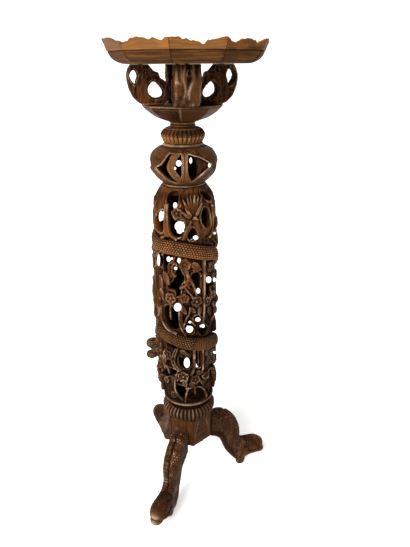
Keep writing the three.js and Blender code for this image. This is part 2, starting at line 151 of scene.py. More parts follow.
# ------------------------------------------------------------- field to surface
def nets(f, wrap=False):
    """the surface where f changes sign: points in index units and four-sided faces. wrap closes the first axis"""
    n0 = f.shape[0]
    if wrap:
        f = np.concatenate([f, f[:1]])
    s = f < 0
    nx, ny, nz = f.shape
    c = np.zeros((nx - 1, ny - 1, nz - 1), np.int8)
    corners = [(a, b, d) for a in (0, 1) for b in (0, 1) for d in (0, 1)]
    for a, b, d in corners:
        c += s[a:nx - 1 + a, b:ny - 1 + b, d:nz - 1 + d]
    act = (c > 0) & (c < 8)
    I, J, K = np.nonzero(act)
    vid = np.full(act.shape, -1, np.int32)
    vid[I, J, K] = np.arange(len(I), dtype=np.int32)
    val = {q: f[I + q[0], J + q[1], K + q[2]] for q in corners}
    P = np.zeros((len(I), 3))
    N = np.zeros(len(I))
    for p in corners:
        for ax in range(3):
            if p[ax]:
                continue
            q = tuple(1 if i == ax else p[i] for i in range(3))
            fp, fq = val[p], val[q]
            m = (fp < 0) != (fq < 0)
            t = np.where(m, fp / np.where(m, fp - fq, 1), 0)
            pos = np.array(p, float)[None] + t[:, None] * (np.array(q) - np.array(p))[None]
            P += pos * m[:, None]
            N += m
    P = P / N[:, None] + np.stack([I, J, K], 1)
    faces = []

    def add(i, j, k, cells, flip):
        q = np.stack([vid[cell] for cell in cells], 1)
        q[flip] = q[flip][:, ::-1]
        faces.append(q[(q >= 0).all(1)])

    m = s[:-1, 1:-1, 1:-1] != s[1:, 1:-1, 1:-1]
    i, j, k = np.nonzero(m)
    j, k = j + 1, k + 1
    add(i, j, k, [(i, j - 1, k - 1), (i, j, k - 1), (i, j, k), (i, j - 1, k)], ~s[i, j, k])
    lo = 0 if wrap else 1
    m = s[lo:n0 if wrap else -1, :-1, 1:-1] != s[lo:n0 if wrap else -1, 1:, 1:-1]
    i, j, k = np.nonzero(m)
    i, k = i + lo, k + 1
    h = (i - 1) % n0 if wrap else i - 1
    add(i, j, k, [(h, j, k - 1), (h, j, k), (i, j, k), (i, j, k - 1)], ~s[i, j, k])
    m = s[lo:n0 if wrap else -1, 1:-1, :-1] != s[lo:n0 if wrap else -1, 1:-1, 1:]
    i, j, k = np.nonzero(m)
    i, j = i + lo, j + 1
    h = (i - 1) % n0 if wrap else i - 1
    add(i, j, k, [(h, j - 1, k), (i, j - 1, k), (i, j, k), (h, j, k)], ~s[i, j, k])
    return P, np.concatenate(faces)


def shut(F, wrap=True):
    """keeps a field's outermost layers empty, so that its surface is closed"""
    for ax in (1, 2) if wrap else (0, 1, 2):
        for end in (0, -1):
            at = [slice(None)] * 3
            at[ax] = end
            F[tuple(at)] = np.maximum(F[tuple(at)], 0.25)
    return F


def keep_large(P, Q, least=0.02):
    """drops loose crumbs: bodies with few points compared with the whole"""
    lab = np.arange(len(P))
    while True:
        old = lab
        lab = lab.copy()
        m = lab[Q].min(1)
        for c in range(4):
            np.minimum.at(lab, Q[:, c], m)
        lab = lab[lab]
        if (lab == old).all():
            break
    count = np.bincount(lab, minlength=len(P))
    good = count[lab] >= least * len(P)
    new = np.cumsum(good) - 1
    return good, new[Q[good[Q[:, 0]]]]


def relax(P, Q, times=1, amount=0.5):
    """evens a surface slightly, so that its steps don't show"""
    n = len(P)
    e = np.concatenate([Q[:, [0, 1]], Q[:, [1, 2]], Q[:, [2, 3]], Q[:, [3, 0]]])
    cnt = np.bincount(e[:, 0], minlength=n) + np.bincount(e[:, 1], minlength=n)
    for _ in range(times):
        A = np.stack([np.bincount(e[:, 0], P[e[:, 1], c], n) + np.bincount(e[:, 1], P[e[:, 0], c], n) for c in range(3)], 1)
        P = P + amount * (A / np.maximum(cnt, 1)[:, None] - P)
    return P


def box_blur(a, r, axis, wrap):
    n = a.shape[axis]
    pad = [(0, 0)] * 3
    pad[axis] = (r + 1, r)
    b = np.pad(a, pad, mode="wrap" if wrap else "edge")
    c = np.cumsum(b, axis, dtype=f4)
    lo = [slice(None)] * 3
    hi = [slice(None)] * 3
    lo[axis], hi[axis] = slice(0, n), slice(2 * r + 1, 2 * r + 1 + n)
    return (c[tuple(hi)] - c[tuple(lo)]) / (2 * r + 1)


def shade(f, P, radii, wrap=False):
    """how deep in a hollow (cav) and how far out on an edge (edge) each point lies, 0 to 1"""
    occ = np.clip(0.5 - f, 0, 1).astype(f4)
    out = []
    for r in radii:
        o = occ
        for ax in range(3):
            o = box_blur(o, r, ax, wrap and ax == 0)
            o = box_blur(o, max(1, r // 2), ax, wrap and ax == 0)
        n = np.array(f.shape)
        q = P.copy()
        if wrap:
            q[:, 0] %= n[0]
        i = np.clip(np.floor(q).astype(int), 0, n - 1)
        t = np.clip(q - i, 0, 1)
        v = 0
        for a in (0, 1):
            for b in (0, 1):
                for c in (0, 1):
                    x = (i[:, 0] + a) % n[0] if wrap else np.minimum(i[:, 0] + a, n[0] - 1)
                    v = v + o[x, np.minimum(i[:, 1] + b, n[1] - 1), np.minimum(i[:, 2] + c, n[2] - 1)] * \
                        (t[:, 0] if a else 1 - t[:, 0]) * (t[:, 1] if b else 1 - t[:, 1]) * (t[:, 2] if c else 1 - t[:, 2])
        out.append(v)
    small, big = out
    # cav is used as painted shade in the hollows, edge as painted highlight and wear on the edges
    cav = 0.80 * smooth(0.53, 0.76, big) + 0.85 * smooth(0.53, 0.68, small)
    edge = smooth(0.46, 0.33, small) * smooth(0.60, 0.44, big)
    return np.clip(cav, 0, 1), edge


# --------------------------------------------------------------- mesh and piece
def make_mesh(name, P, faces, attrs):
    """P in metres; faces is one array or a list of arrays of equal-length faces"""
    if not isinstance(faces, list):
        faces = [faces]
    me = bpy.data.meshes.new(name)
    me.vertices.add(len(P))
    me.vertices.foreach_set("co", np.asarray(P, f4).ravel())
    loops = np.concatenate([q.ravel() for q in faces]).astype(np.int32)
    total = np.concatenate([np.full(len(q), q.shape[1], np.int32) for q in faces])
    start = np.concatenate([[0], np.cumsum(total)[:-1]]).astype(np.int32)
    me.loops.add(len(loops))
    me.loops.foreach_set("vertex_index", loops)
    me.polygons.add(len(total))
    me.polygons.foreach_set("loop_start", start)
    me.polygons.foreach_set("use_smooth", np.ones(len(total), bool))
    me.update(calc_edges=True)
    me.validate()
    for key, v in attrs.items():
        a = me.attributes.new(key, "FLOAT", "POINT")
        a.data.foreach_set("value", np.asarray(v, f4))
    return me


def piece(name, mesh, material, node):
    o = bpy.data.objects.new(name, mesh)
    bpy.context.scene.collection.objects.link(o)
    mesh.materials.clear()
    mesh.materials.append(material)
    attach(o, "root")
    if node:
        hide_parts(*([node] if isinstance(node, str) else node))
    return o


def to_world(x, y, z):
    """millimetres round the column's axis -> metres in the row frame"""
    return np.stack([(np.asarray(x) + AXIS_X) * MM, (np.asarray(y) + AXIS_Y) * MM, np.asarray(z) * MM], -1)


def polar(phi, r, z):
    """phi in radians, from the front towards the right"""
    return to_world(r * np.sin(phi), -r * np.cos(phi), z)


# ------------------------------------------------------------------- materials
def wood(name, dark, mid, light, wear_and_sheen_colour, grain="Z", rough=0.54, streak=1.0, coat=0.0, bump=0.35, patch=0.5, shade_and_stain_amount=1.0, gloss=0.30, fade=0.0):
    m = bpy.data.materials.new(name)
    m.use_nodes = True
    nt = m.node_tree
    for n in list(nt.nodes):
        nt.nodes.remove(n)
    new = nt.nodes.new
    link = nt.links.new
    out = new("ShaderNodeOutputMaterial")
    bsdf = new("ShaderNodeBsdfPrincipled")
    bsdf.inputs["Coat Weight"].default_value = coat
    bsdf.inputs["Coat Roughness"].default_value = 0.28
    link(bsdf.outputs[0], out.inputs[0])
    co = new("ShaderNodeTexCoord")

    place = co.outputs["Object"]
    if grain == "board":
        own = new("ShaderNodeCombineXYZ")
        for n, key in enumerate(("run", "girth", "number")):
            at = new("ShaderNodeAttribute")
            at.attribute_name = key
            link(at.outputs["Fac"], own.inputs[n])
        place = own.outputs[0]

    def mapping(scale):
        mp = new("ShaderNodeMapping")
        mp.inputs["Scale"].default_value = scale
        link(place, mp.inputs["Vector"])
        return mp.outputs[0]

    along = {"Z": (1, 1, 0.07), "X": (0.07, 1, 1), "board": (0.06, 1, 1)}[grain]

    def noise(scale, vec, detail=4.0, distortion=0.0, roughness=0.55):
        n = new("ShaderNodeTexNoise")
        n.inputs["Scale"].default_value = scale
        n.inputs["Detail"].default_value = detail
        n.inputs["Roughness"].default_value = roughness
        n.inputs["Distortion"].default_value = distortion
        link(vec, n.inputs["Vector"])
        return n.outputs["Fac"]

    def ramp(src, a, b, lo=0.0, hi=1.0):
        r = new("ShaderNodeMapRange")
        r.inputs["From Min"].default_value = a
        r.inputs["From Max"].default_value = b
        r.inputs["To Min"].default_value = lo
        r.inputs["To Max"].default_value = hi
        link(src, r.inputs["Value"])
        return r.outputs[0]

    def math_(op, a, b):
        n = new("ShaderNodeMath")
        n.operation = op
        n.use_clamp = True
        for s, v in zip(n.inputs, (a, b)):
            if isinstance(v, (int, float)):
                s.default_value = v
            else:
                link(v, s)
        return n.outputs[0]

    def mix(fac, a, b):
        n = new("ShaderNodeMix")
        n.data_type = "RGBA"
        for s, v in ((n.inputs[0], fac), (n.inputs[6], a), (n.inputs[7], b)):
            if isinstance(v, (int, float)):
                s.default_value = v
            elif isinstance(v, tuple):
                s.default_value = (*v, 1)
            else:
                link(v, s)
        return n.outputs[2]

    def attribute(key):
        n = new("ShaderNodeAttribute")
        n.attribute_name = key
        return n.outputs["Fac"]

    cav, edge, tone = attribute("cav"), attribute("edge"), attribute("tone")
    fibre = noise(260, mapping(along), 5, 0.25)
    broad = noise(42, mapping(along), 3, 0.6)
    cloud = noise(17, mapping((1, 1, 1)), 3)
    fine = noise(900, mapping(along), 2)
    speck = noise(420, mapping((1, 1, 1)), 2)
    body = mix(ramp(broad, 0.36, 0.66), dark, mid)
    body = mix(math_("MULTIPLY", ramp(fibre, 0.44, 0.70), 0.75 * streak), body, light)
    body = mix(math_("MULTIPLY", ramp(fine, 0.55, 0.75), 0.35 * streak), body, dark)
    body = mix(math_("MULTIPLY", ramp(cloud, 0.47, 0.64), min(1.0, patch * 1.7)), body, tuple(c * 0.26 for c in mid))
    warm = ramp(noise(14, mapping((1, 1, 0.6)), 3, 0.4), 0.51, 0.64)
    body = mix(math_("MULTIPLY", warm, 0.66), body, (mid[0] * 2.25, mid[1] * 1.95, mid[2] * 1.20))
    # tone lightens the colour: random tone on most pieces, painted light on the tray's boards and the toes
    body = mix(math_("MULTIPLY", tone, 0.8), body, light)
    if fade:
        # darker towards the foot of the column
        height = new("ShaderNodeSeparateXYZ")
        link(co.outputs["Object"], height.inputs[0])
        body = mix(ramp(height.outputs[2], 0.64, 0.40, 0.0, fade), body, tuple(c * 0.8 for c in dark))
    # edge lightens the colour towards a pale one: worn edges together with painted highlights
    rubbed = noise(30, mapping((1, 1, 1)), 2)
    wear_and_sheen = math_("MULTIPLY", math_("MULTIPLY", edge, ramp(speck, 0.36, 0.62, 0.35, 1.0)), ramp(rubbed, 0.40, 0.60, 0.25, 1.0))
    body = mix(math_("MULTIPLY", wear_and_sheen, 0.85), body, wear_and_sheen_colour)
    # cav darkens the colour towards near black: painted shade in hollows, grooves and under overhangs, together with
    # real stains and dark joints
    painted_shade_and_stain = math_("MULTIPLY", cav, 0.97 * shade_and_stain_amount)
    body = mix(painted_shade_and_stain, body, (0.0045, 0.0022, 0.0012))
    link(body, bsdf.inputs["Base Color"])
    # the hollows are dull, the rubbed surfaces shine
    bsdf.inputs["Specular IOR Level"].default_value = gloss
    r1 = ramp(fibre, 0.3, 0.7, rough - 0.08, rough + 0.1)
    r2 = new("ShaderNodeMath")
    r2.operation = "MULTIPLY_ADD"
    link(cav, r2.inputs[0])
    r2.inputs[1].default_value = 0.55
    link(r1, r2.inputs[2])
    r3 = math_("SUBTRACT", r2.outputs[0], math_("MULTIPLY", wear_and_sheen, 0.08))
    link(r3, bsdf.inputs["Roughness"])
    b1 = new("ShaderNodeBump")
    b1.inputs["Strength"].default_value = bump
    b1.inputs["Distance"].default_value = 0.0006
    link(fibre, b1.inputs["Height"])
    b2 = new("ShaderNodeBump")
    b2.inputs["Strength"].default_value = bump * 0.7
    b2.inputs["Distance"].default_value = 0.0009
    link(noise(190, mapping((1, 1, 1)), 3), b2.inputs["Height"])
    link(b1.outputs[0], b2.inputs["Normal"])
    link(b2.outputs[0], bsdf.inputs["Normal"])
    return m


mat_carved = wood("carved_wood_column", dark=(0.0073, 0.0020, 0.0006), mid=(0.0486, 0.0152, 0.0039), light=(0.1665, 0.0633, 0.0155), wear_and_sheen_colour=(0.46, 0.31, 0.195), patch=0.35, gloss=0.05, fade=0.5)
mat_serpent = wood("carved_wood_serpent", dark=(0.0180, 0.0053, 0.0014), mid=(0.0960, 0.0333, 0.0083), light=(0.2592, 0.1021, 0.0256), wear_and_sheen_colour=(0.50, 0.325, 0.185), patch=0.2, gloss=0.06, fade=0.4)
mat_bracket = wood("carved_wood_bracket", dark=(0.0073, 0.0022, 0.0007), mid=(0.0395, 0.0130, 0.0038), light=(0.1102, 0.0404, 0.0111), wear_and_sheen_colour=(0.46, 0.31, 0.20), patch=0.3, gloss=0.05)
mat_turned = wood("carved_wood_turned", dark=(0.0360, 0.0113, 0.0031), mid=(0.1219, 0.0423, 0.0109), light=(0.2650, 0.1088, 0.0301), wear_and_sheen_colour=(0.50, 0.33, 0.19), patch=0.2, streak=0.9, gloss=0.08)
mat_cup = wood("carved_wood_cup", dark=(0.0074, 0.0022, 0.0007), mid=(0.0368, 0.0120, 0.0032), light=(0.0840, 0.0304, 0.0083), wear_and_sheen_colour=(0.46, 0.28, 0.14), patch=0.2, streak=0.9, rough=0.48, gloss=0.04)
mat_bulb = wood("carved_wood_bulb", dark=(0.0119, 0.0036, 0.0010), mid=(0.0560, 0.0188, 0.0048), light=(0.1360, 0.0540, 0.0144), wear_and_sheen_colour=(0.52, 0.36, 0.23), patch=0.2, streak=0.9, gloss=0.06)
mat_leg = wood("carved_wood_leg", dark=(0.0085, 0.0024, 0.0007), mid=(0.0404, 0.0127, 0.0031), light=(0.1128, 0.0420, 0.0113), wear_and_sheen_colour=(0.52, 0.37, 0.245), rough=0.46, patch=0.2, gloss=0.05)
mat_block = wood("carved_wood_block", dark=(0.0085, 0.0025, 0.0007), mid=(0.037, 0.0120, 0.0028), light=(0.095, 0.0340, 0.0090), wear_and_sheen_colour=(0.46, 0.31, 0.19), rough=0.50, patch=0.2, gloss=0.05)
mat_ring = wood("carved_wood_ring", dark=(0.0049, 0.0015, 0.0004), mid=(0.0245, 0.0079, 0.0020), light=(0.0662, 0.0246, 0.0068), wear_and_sheen_colour=(0.44, 0.31, 0.205), patch=0.2, gloss=0.05)
mat_dowel = wood("dowel_wood", dark=(0.22, 0.13, 0.06), mid=(0.38, 0.25, 0.12), light=(0.52, 0.37, 0.20), wear_and_sheen_colour=(0.55, 0.42, 0.26), rough=0.65, patch=0.2, gloss=0.2)
TRAY = dict(dark=(0.0198, 0.0064, 0.0015), mid=(0.122, 0.0450, 0.0108), light=(0.300, 0.1250, 0.0324), wear_and_sheen_colour=(0.52, 0.330, 0.170), rough=0.52, streak=1.0, patch=0.24, shade_and_stain_amount=0.97, gloss=0.06)
mat_board = wood("tray_wood_boards", grain="board", **TRAY)
mat_floor = wood("tray_wood_floor", grain="X", **TRAY)


# ---------------------------------------------------------------- turned pieces
def refine(profile, step):
    """adds points to a closed profile so that none are further apart than step"""
    p = np.asarray(profile, float)
    out = []
    for a, b in zip(p, np.roll(p, -1, 0)):
        n = max(1, int(math.ceil(np.hypot(*(b - a)) / step)))
        for t in range(n):
            out.append(a + (b - a) * t / n)
    return np.array(out)


def lathe(profile, around, step, shape):
    """closed ring from a closed profile (radius, z), anticlockwise as seen with radius to the right.
    shape(phi, r, z, nr, nz) gives how far each point moves out along the profile's normal, cav and edge"""
    p = refine(profile, step)
    d = np.roll(p, -1, 0) - np.roll(p, 1, 0)
    d /= np.maximum(np.hypot(*d.T)[:, None], 1e-9)
    nr, nz = d[:, 1], -d[:, 0]
    phi = np.arange(around) * 2 * math.pi / around
    PH, RR = np.meshgrid(phi, p[:, 0], indexing="ij")
    _, ZZ = np.meshgrid(phi, p[:, 1], indexing="ij")
    NR, NZ = np.broadcast_to(nr, RR.shape), np.broadcast_to(nz, RR.shape)
    move, cav, edge, tone = shape(PH, RR, ZZ, NR, NZ)
    V = polar(PH, RR + move * NR, ZZ + move * NZ).reshape(-1, 3)
    n, m = around, len(p)
    i, j = np.meshgrid(np.arange(n), np.arange(m), indexing="ij")
    i2, j2 = (i + 1) % n, (j + 1) % m
    # along the profile, then round: faces out for an anticlockwise profile
    Q = np.stack([i * m + j, i2 * m + j, i2 * m + j2, i * m + j2], -1).reshape(-1, 4)
    full = lambda a: np.broadcast_to(a, RR.shape).ravel()
    return V, Q, {"cav": full(cav), "edge": full(edge), "tone": full(tone)}


def groove(x, at, width):
    return np.exp(-((x - at) / width) ** 2)


def neck_shape(phi, r, z, nr, nz):
    out = r > 14
    n = 0.25 * noise3(r * np.sin(phi) / 3, r * np.cos(phi) / 3, z / 2, 3) * out
    line = groove(z, 891.8, 0.7) * out
    # cav: painted shade in the groove; edge: painted highlight and wear on the top edge and the bead
    return n - 0.5 * line, 0.8 * line, smooth(893.5, 896.5, z) * 0.5 * out + 0.55 * groove(z, 889.8, 0.8) * out, 0.25 * out


V, Q, A = lathe([(11.2, 888.4), (23.4, 888.4), (25.2, 889.2), (25.6, 890.4), (24.6, 891.8), (24.2, 893.6), (25.2, 895.6), (26.0, 896.6), (11.2, 896.6)], 180, 0.7, neck_shape)
piece("neck_ring_turned", make_mesh("neck_ring_turned", V, Q, A), mat_turned, "neck_ring")

COLLAR_N = 30


def collar_shape(phi, r, z, nr, nz):
    out = smooth(15, 24, r)
    wave = np.cos(COLLAR_N * phi + 0.6)
    rib = np.sqrt(np.clip(0.5 + 0.5 * wave, 0, 1))
    low = smooth(858.6, 860.5, z) * smooth(871.5, 869.3, z) * smooth(30, 36, r)
    high = smooth(871.5, 873.2, z) * smooth(886.2, 883.6, z)
    mid = groove(z, 871.6, 0.9) * smooth(30, 40, r)
    top = groove(z, 886.2, 0.8) * smooth(22, 28, r) * (nz > -0.5)
    valley = 1 - rib
    bead = np.sqrt(np.clip(0.5 + 0.5 * np.cos(2 * COLLAR_N * phi), 0, 1)) * groove(z, 873.6, 1.5) * smooth(30, 40, r)
    move = (rib - 0.75) * (2.1 * low + 1.3 * high) + 1.0 * bead - 1.0 * mid + 0.15 * noise3(r * np.sin(phi) / 2.5, r * np.cos(phi) / 2.5, z / 3, 5) * out
    # painted shade in the valleys between the gadroons, in the grooves and over the upper band; painted highlight and
    # wear on the rib crests and the beads
    cav = smooth(0.35, 0.95, valley) * (0.95 * low + 0.95 * high) + 0.75 * mid * (0.3 + 0.7 * valley) + 0.72 * high - 0.6 * bead + 0.7 * top
    edge = low * smooth(0.8, 1.0, rib) * smooth(862, 868, z) + 0.3 * high * smooth(0.85, 1, rib) * smooth(880, 884, z) + 0.9 * groove(z, 884.8, 0.9) * out + 0.55 * smooth(0.5, 0.9, bead)
    return move, np.clip(cav, 0, 1), np.clip(edge, 0, 1), 0.55 * low + 0.05


V, Q, A = lathe([(11.2, 857.7), (37.0, 857.7), (38.6, 859.4), (40.6, 863.4), (42.8, 868), (43.8, 871.5), (43.6, 873.6), (42.4, 877.6), (39.0, 882.3), (34.5, 885.6), (30.5, 887.0), (26, 887.8), (11.2, 887.8)], 468, 0.8, collar_shape)
piece("gadroon_collar_carved", make_mesh("gadroon_collar_carved", V, Q, A), mat_turned, "gadroon_collar")

RING_N = 40


def ring_shape(phi, r, z, nr, nz):
    wave = np.cos(RING_N * phi)
    rib = np.sqrt(np.clip(0.5 + 0.5 * wave, 0, 1))
    zone = smooth(211.5, 214.5, z) * smooth(243.4, 242.2, z) * smooth(50.4, 52.5, r)
    inner = smooth(240, 242.5, z) * smooth(53, 50.5, r) * (r > 16)
    move = (rib - 0.8) * 2.7 * zone - 0.25 * zone + 0.2 * noise3(r * np.sin(phi) / 2.5, r * np.cos(phi) / 2.5, z / 2.5, 8) * zone
    # painted shade in the flutes, under the column's foot, in the lower flutes and at the ring's lower edge; painted
    # highlight and wear on the flute crests, more towards the top
    cav = 0.9 * smooth(0.35, 0.95, 1 - rib) * zone + 0.9 * inner + 0.3 * smooth(222, 214, z) * zone + 0.6 * smooth(215, 211, z) * smooth(48, 52, r)
    edge = zone * smooth(0.8, 1.0, rib) * (0.18 + 0.42 * smooth(222, 236, z))
    return move, np.clip(cav, 0, 1), edge, 0.1


V, Q, A = lathe([(15.3, 209.8), (51, 209.8), (55.2, 212.4), (58.8, 216.2), (61.6, 221.2), (62.9, 226.5), (62.9, 232), (61.0, 236.6), (57.2, 240.4), (53.0, 242.2), (50.5, 242.8), (15.3, 242.8)], 480, 1.15, ring_shape)
piece("base_ring_fluted", make_mesh("base_ring_fluted", V, Q, A), mat_ring, "base_ring")

# the cup: eight carved sides under a thin raised rim
CUP = [(0.8, 897.1), (27, 897.1), (33, 898.8), (40, 900.6), (47, 903), (53, 905.8), (58.5, 909), (64.5, 913), (69.5, 917), (73.6, 920.6),
       (76.2, 923.4), (77.2, 924.2), (78.6, 925.4), (78.9, 927.2), (78.0, 928.8), (0.8, 928.8)]


def cup_shape(phi, r, z, nr, nz):
    k = (phi / DEG - (FRONT - 1)) % 45
    face = np.cos(22.5 * DEG) / np.cos((k - 22.5) * DEG)
    face = np.minimum(face, 0.992) * 1.012
    out = smooth(30, 45, r)
    move = 0.30 * noise3(r * np.sin(phi) / 9, r * np.cos(phi) / 9, z / 4, 11) * out
    move = move + 0.22 * noise3(r * np.sin(phi) / 3, r * np.cos(phi) / 3, z / 2, 12) * out
    line = groove(z, 924.0, 0.55) * (r > 70)
    line2 = groove(z, 914.5, 0.5) * (r > 50) * (nz < 0)
    ridge = 1 - smooth(0, 2.2, np.minimum(k, 45 - k))
    # painted shade in the grooves, on the underside next to the collar and a little towards the foot; painted highlight
    # and wear on the rim, a line below it and the facet ridges
    cav = 0.85 * line + 0.3 * line2 + smooth(34, 27, r) * (nz < -0.3) * 0.8 + 0.15 * smooth(905, 900, z)
    edge = 0.7 * groove(z, 927.4, 1.1) * (r > 70) + 0.5 * ridge * out * (nz < 0.5) + 0.25 * groove(z, 922.6, 0.7) * (r > 70)
    return move - 0.5 * line - 0.12 * line2, np.clip(cav, 0, 1), edge, 0.25 + 0.25 * np.sign(np.sin(phi - (FRONT - 1) * DEG)) * out


def cup_mesh():
    V, Q, A = lathe(CUP, 320, 1.2, cup_shape)
    c = V - np.array([AXIS_X * MM, AXIS_Y * MM, 0])
    phi = np.arctan2(c[:, 0], -c[:, 1]) / DEG
    k = (phi - (FRONT - 1)) % 45
    f = np.minimum(np.cos(22.5 * DEG) / np.cos((k - 22.5) * DEG), 0.993)
    r = np.hypot(c[:, 0], c[:, 1]) / MM
    f = 1 + (f - 1) * smooth(28, 44, r)
    c[:, 0] *= f
    c[:, 1] *= f
    return c + np.array([AXIS_X * MM, AXIS_Y * MM, 0]), Q, A


V, Q, A = cup_mesh()
piece("cup_bowl_carved", make_mesh("cup_bowl_carved", V, Q, A), mat_cup, "cup_bowl")


# ------------------------------------------------------------------------- tray
SIDES = 10
CORNER = FRONT - 9.5
LIP = [(-100, 1041), (-92, 1042.6), (-84, 1043.7), (-78, 1043), (-72, 1043.8), (-66, 1043), (-62, 1041.3), (-58, 1038), (-52, 1037), (-48, 1035.4), (-44.5, 1031.6), (-40, 1036.3), (-36, 1040.4), (-33, 1041.7), (-30, 1040.2),
       (-27.5, 1041), (-24, 1036.6), (-20.5, 1039.3), (-15, 1036), (-12, 1038.7), (-7, 1040.3), (-4, 1040), (0, 1037.3), (3, 1035.9), (8, 1033.2), (12.3, 1030), (15, 1035.3), (18, 1036), (22, 1038.8), (25.5, 1040.5),
       (28, 1037.6), (31, 1034), (35, 1032), (38, 1036.8), (44, 1038.8), (48, 1039), (52, 1036.3), (56, 1031.6), (59, 1036.7), (64, 1038.8), (72, 1039.6), (80, 1041), (88, 1042.5), (95, 1040), (103, 1036), (110, 1033.5),
       (117, 1031), (124, 1035), (130, 1038), (136, 1034), (143, 1030), (150, 1035), (158, 1039), (165, 1035), (172, 1031), (179, 1036), (186, 1039), (193, 1035), (201, 1030), (208, 1035), (215, 1039), (221, 1036),
       (228, 1032), (235, 1038), (242, 1041), (247, 1038), (252, 1035), (260, 1041)]


def lip_height(phi):
    p = (phi - FRONT) % 360
    p = np.where(p > 260, p - 360, p)
    xs, ys = np.array(LIP).T
    i = np.clip(np.searchsorted(xs, p) - 1, 0, len(xs) - 2)
    t = np.clip((p - xs[i]) / (xs[i + 1] - xs[i]), 0, 1)
    h = ys[i] + (ys[i + 1] - ys[i]) * (t * t * (3 - 2 * t))
    small = 0.55 * np.sin(p * DEG * 47 + 2.2 * np.sin(p * DEG * 9)) + 0.35 * np.sin(p * DEG * 83)
    return h + small * smooth(1043.4, 1040, h)


# section of a board: (centre to side, z, cav, edge)
BOARD = [(106.3, 1000.0), (112, 1000.2), (116.8, 1000.9), (122.2, 1002.6), (126.6, 1004.9), (131.6, 1008.0), (135.4, 1011.9), (138.2, 1016.2), (139.9, 1020.4),
         (140.0, 1021.1), (141.1, 1021.9), (142.6, 1025.6), (145.0, 1032.0), (147.4, 1038.6), (148.9, 1042.2), (148.7, 1043.2), (147.3, 1043.8), (144.8, 1043.5), (142.8, 1042.6),
         (140.0, 1037.6), (135.2, 1030.0), (130.8, 1023.2), (126.4, 1018.6), (121, 1014.6), (114, 1011.8), (106.3, 1010.0),
         (106.3, 1007.2), (110.1, 1007.2), (110.1, 1002.8), (106.3, 1002.8)]


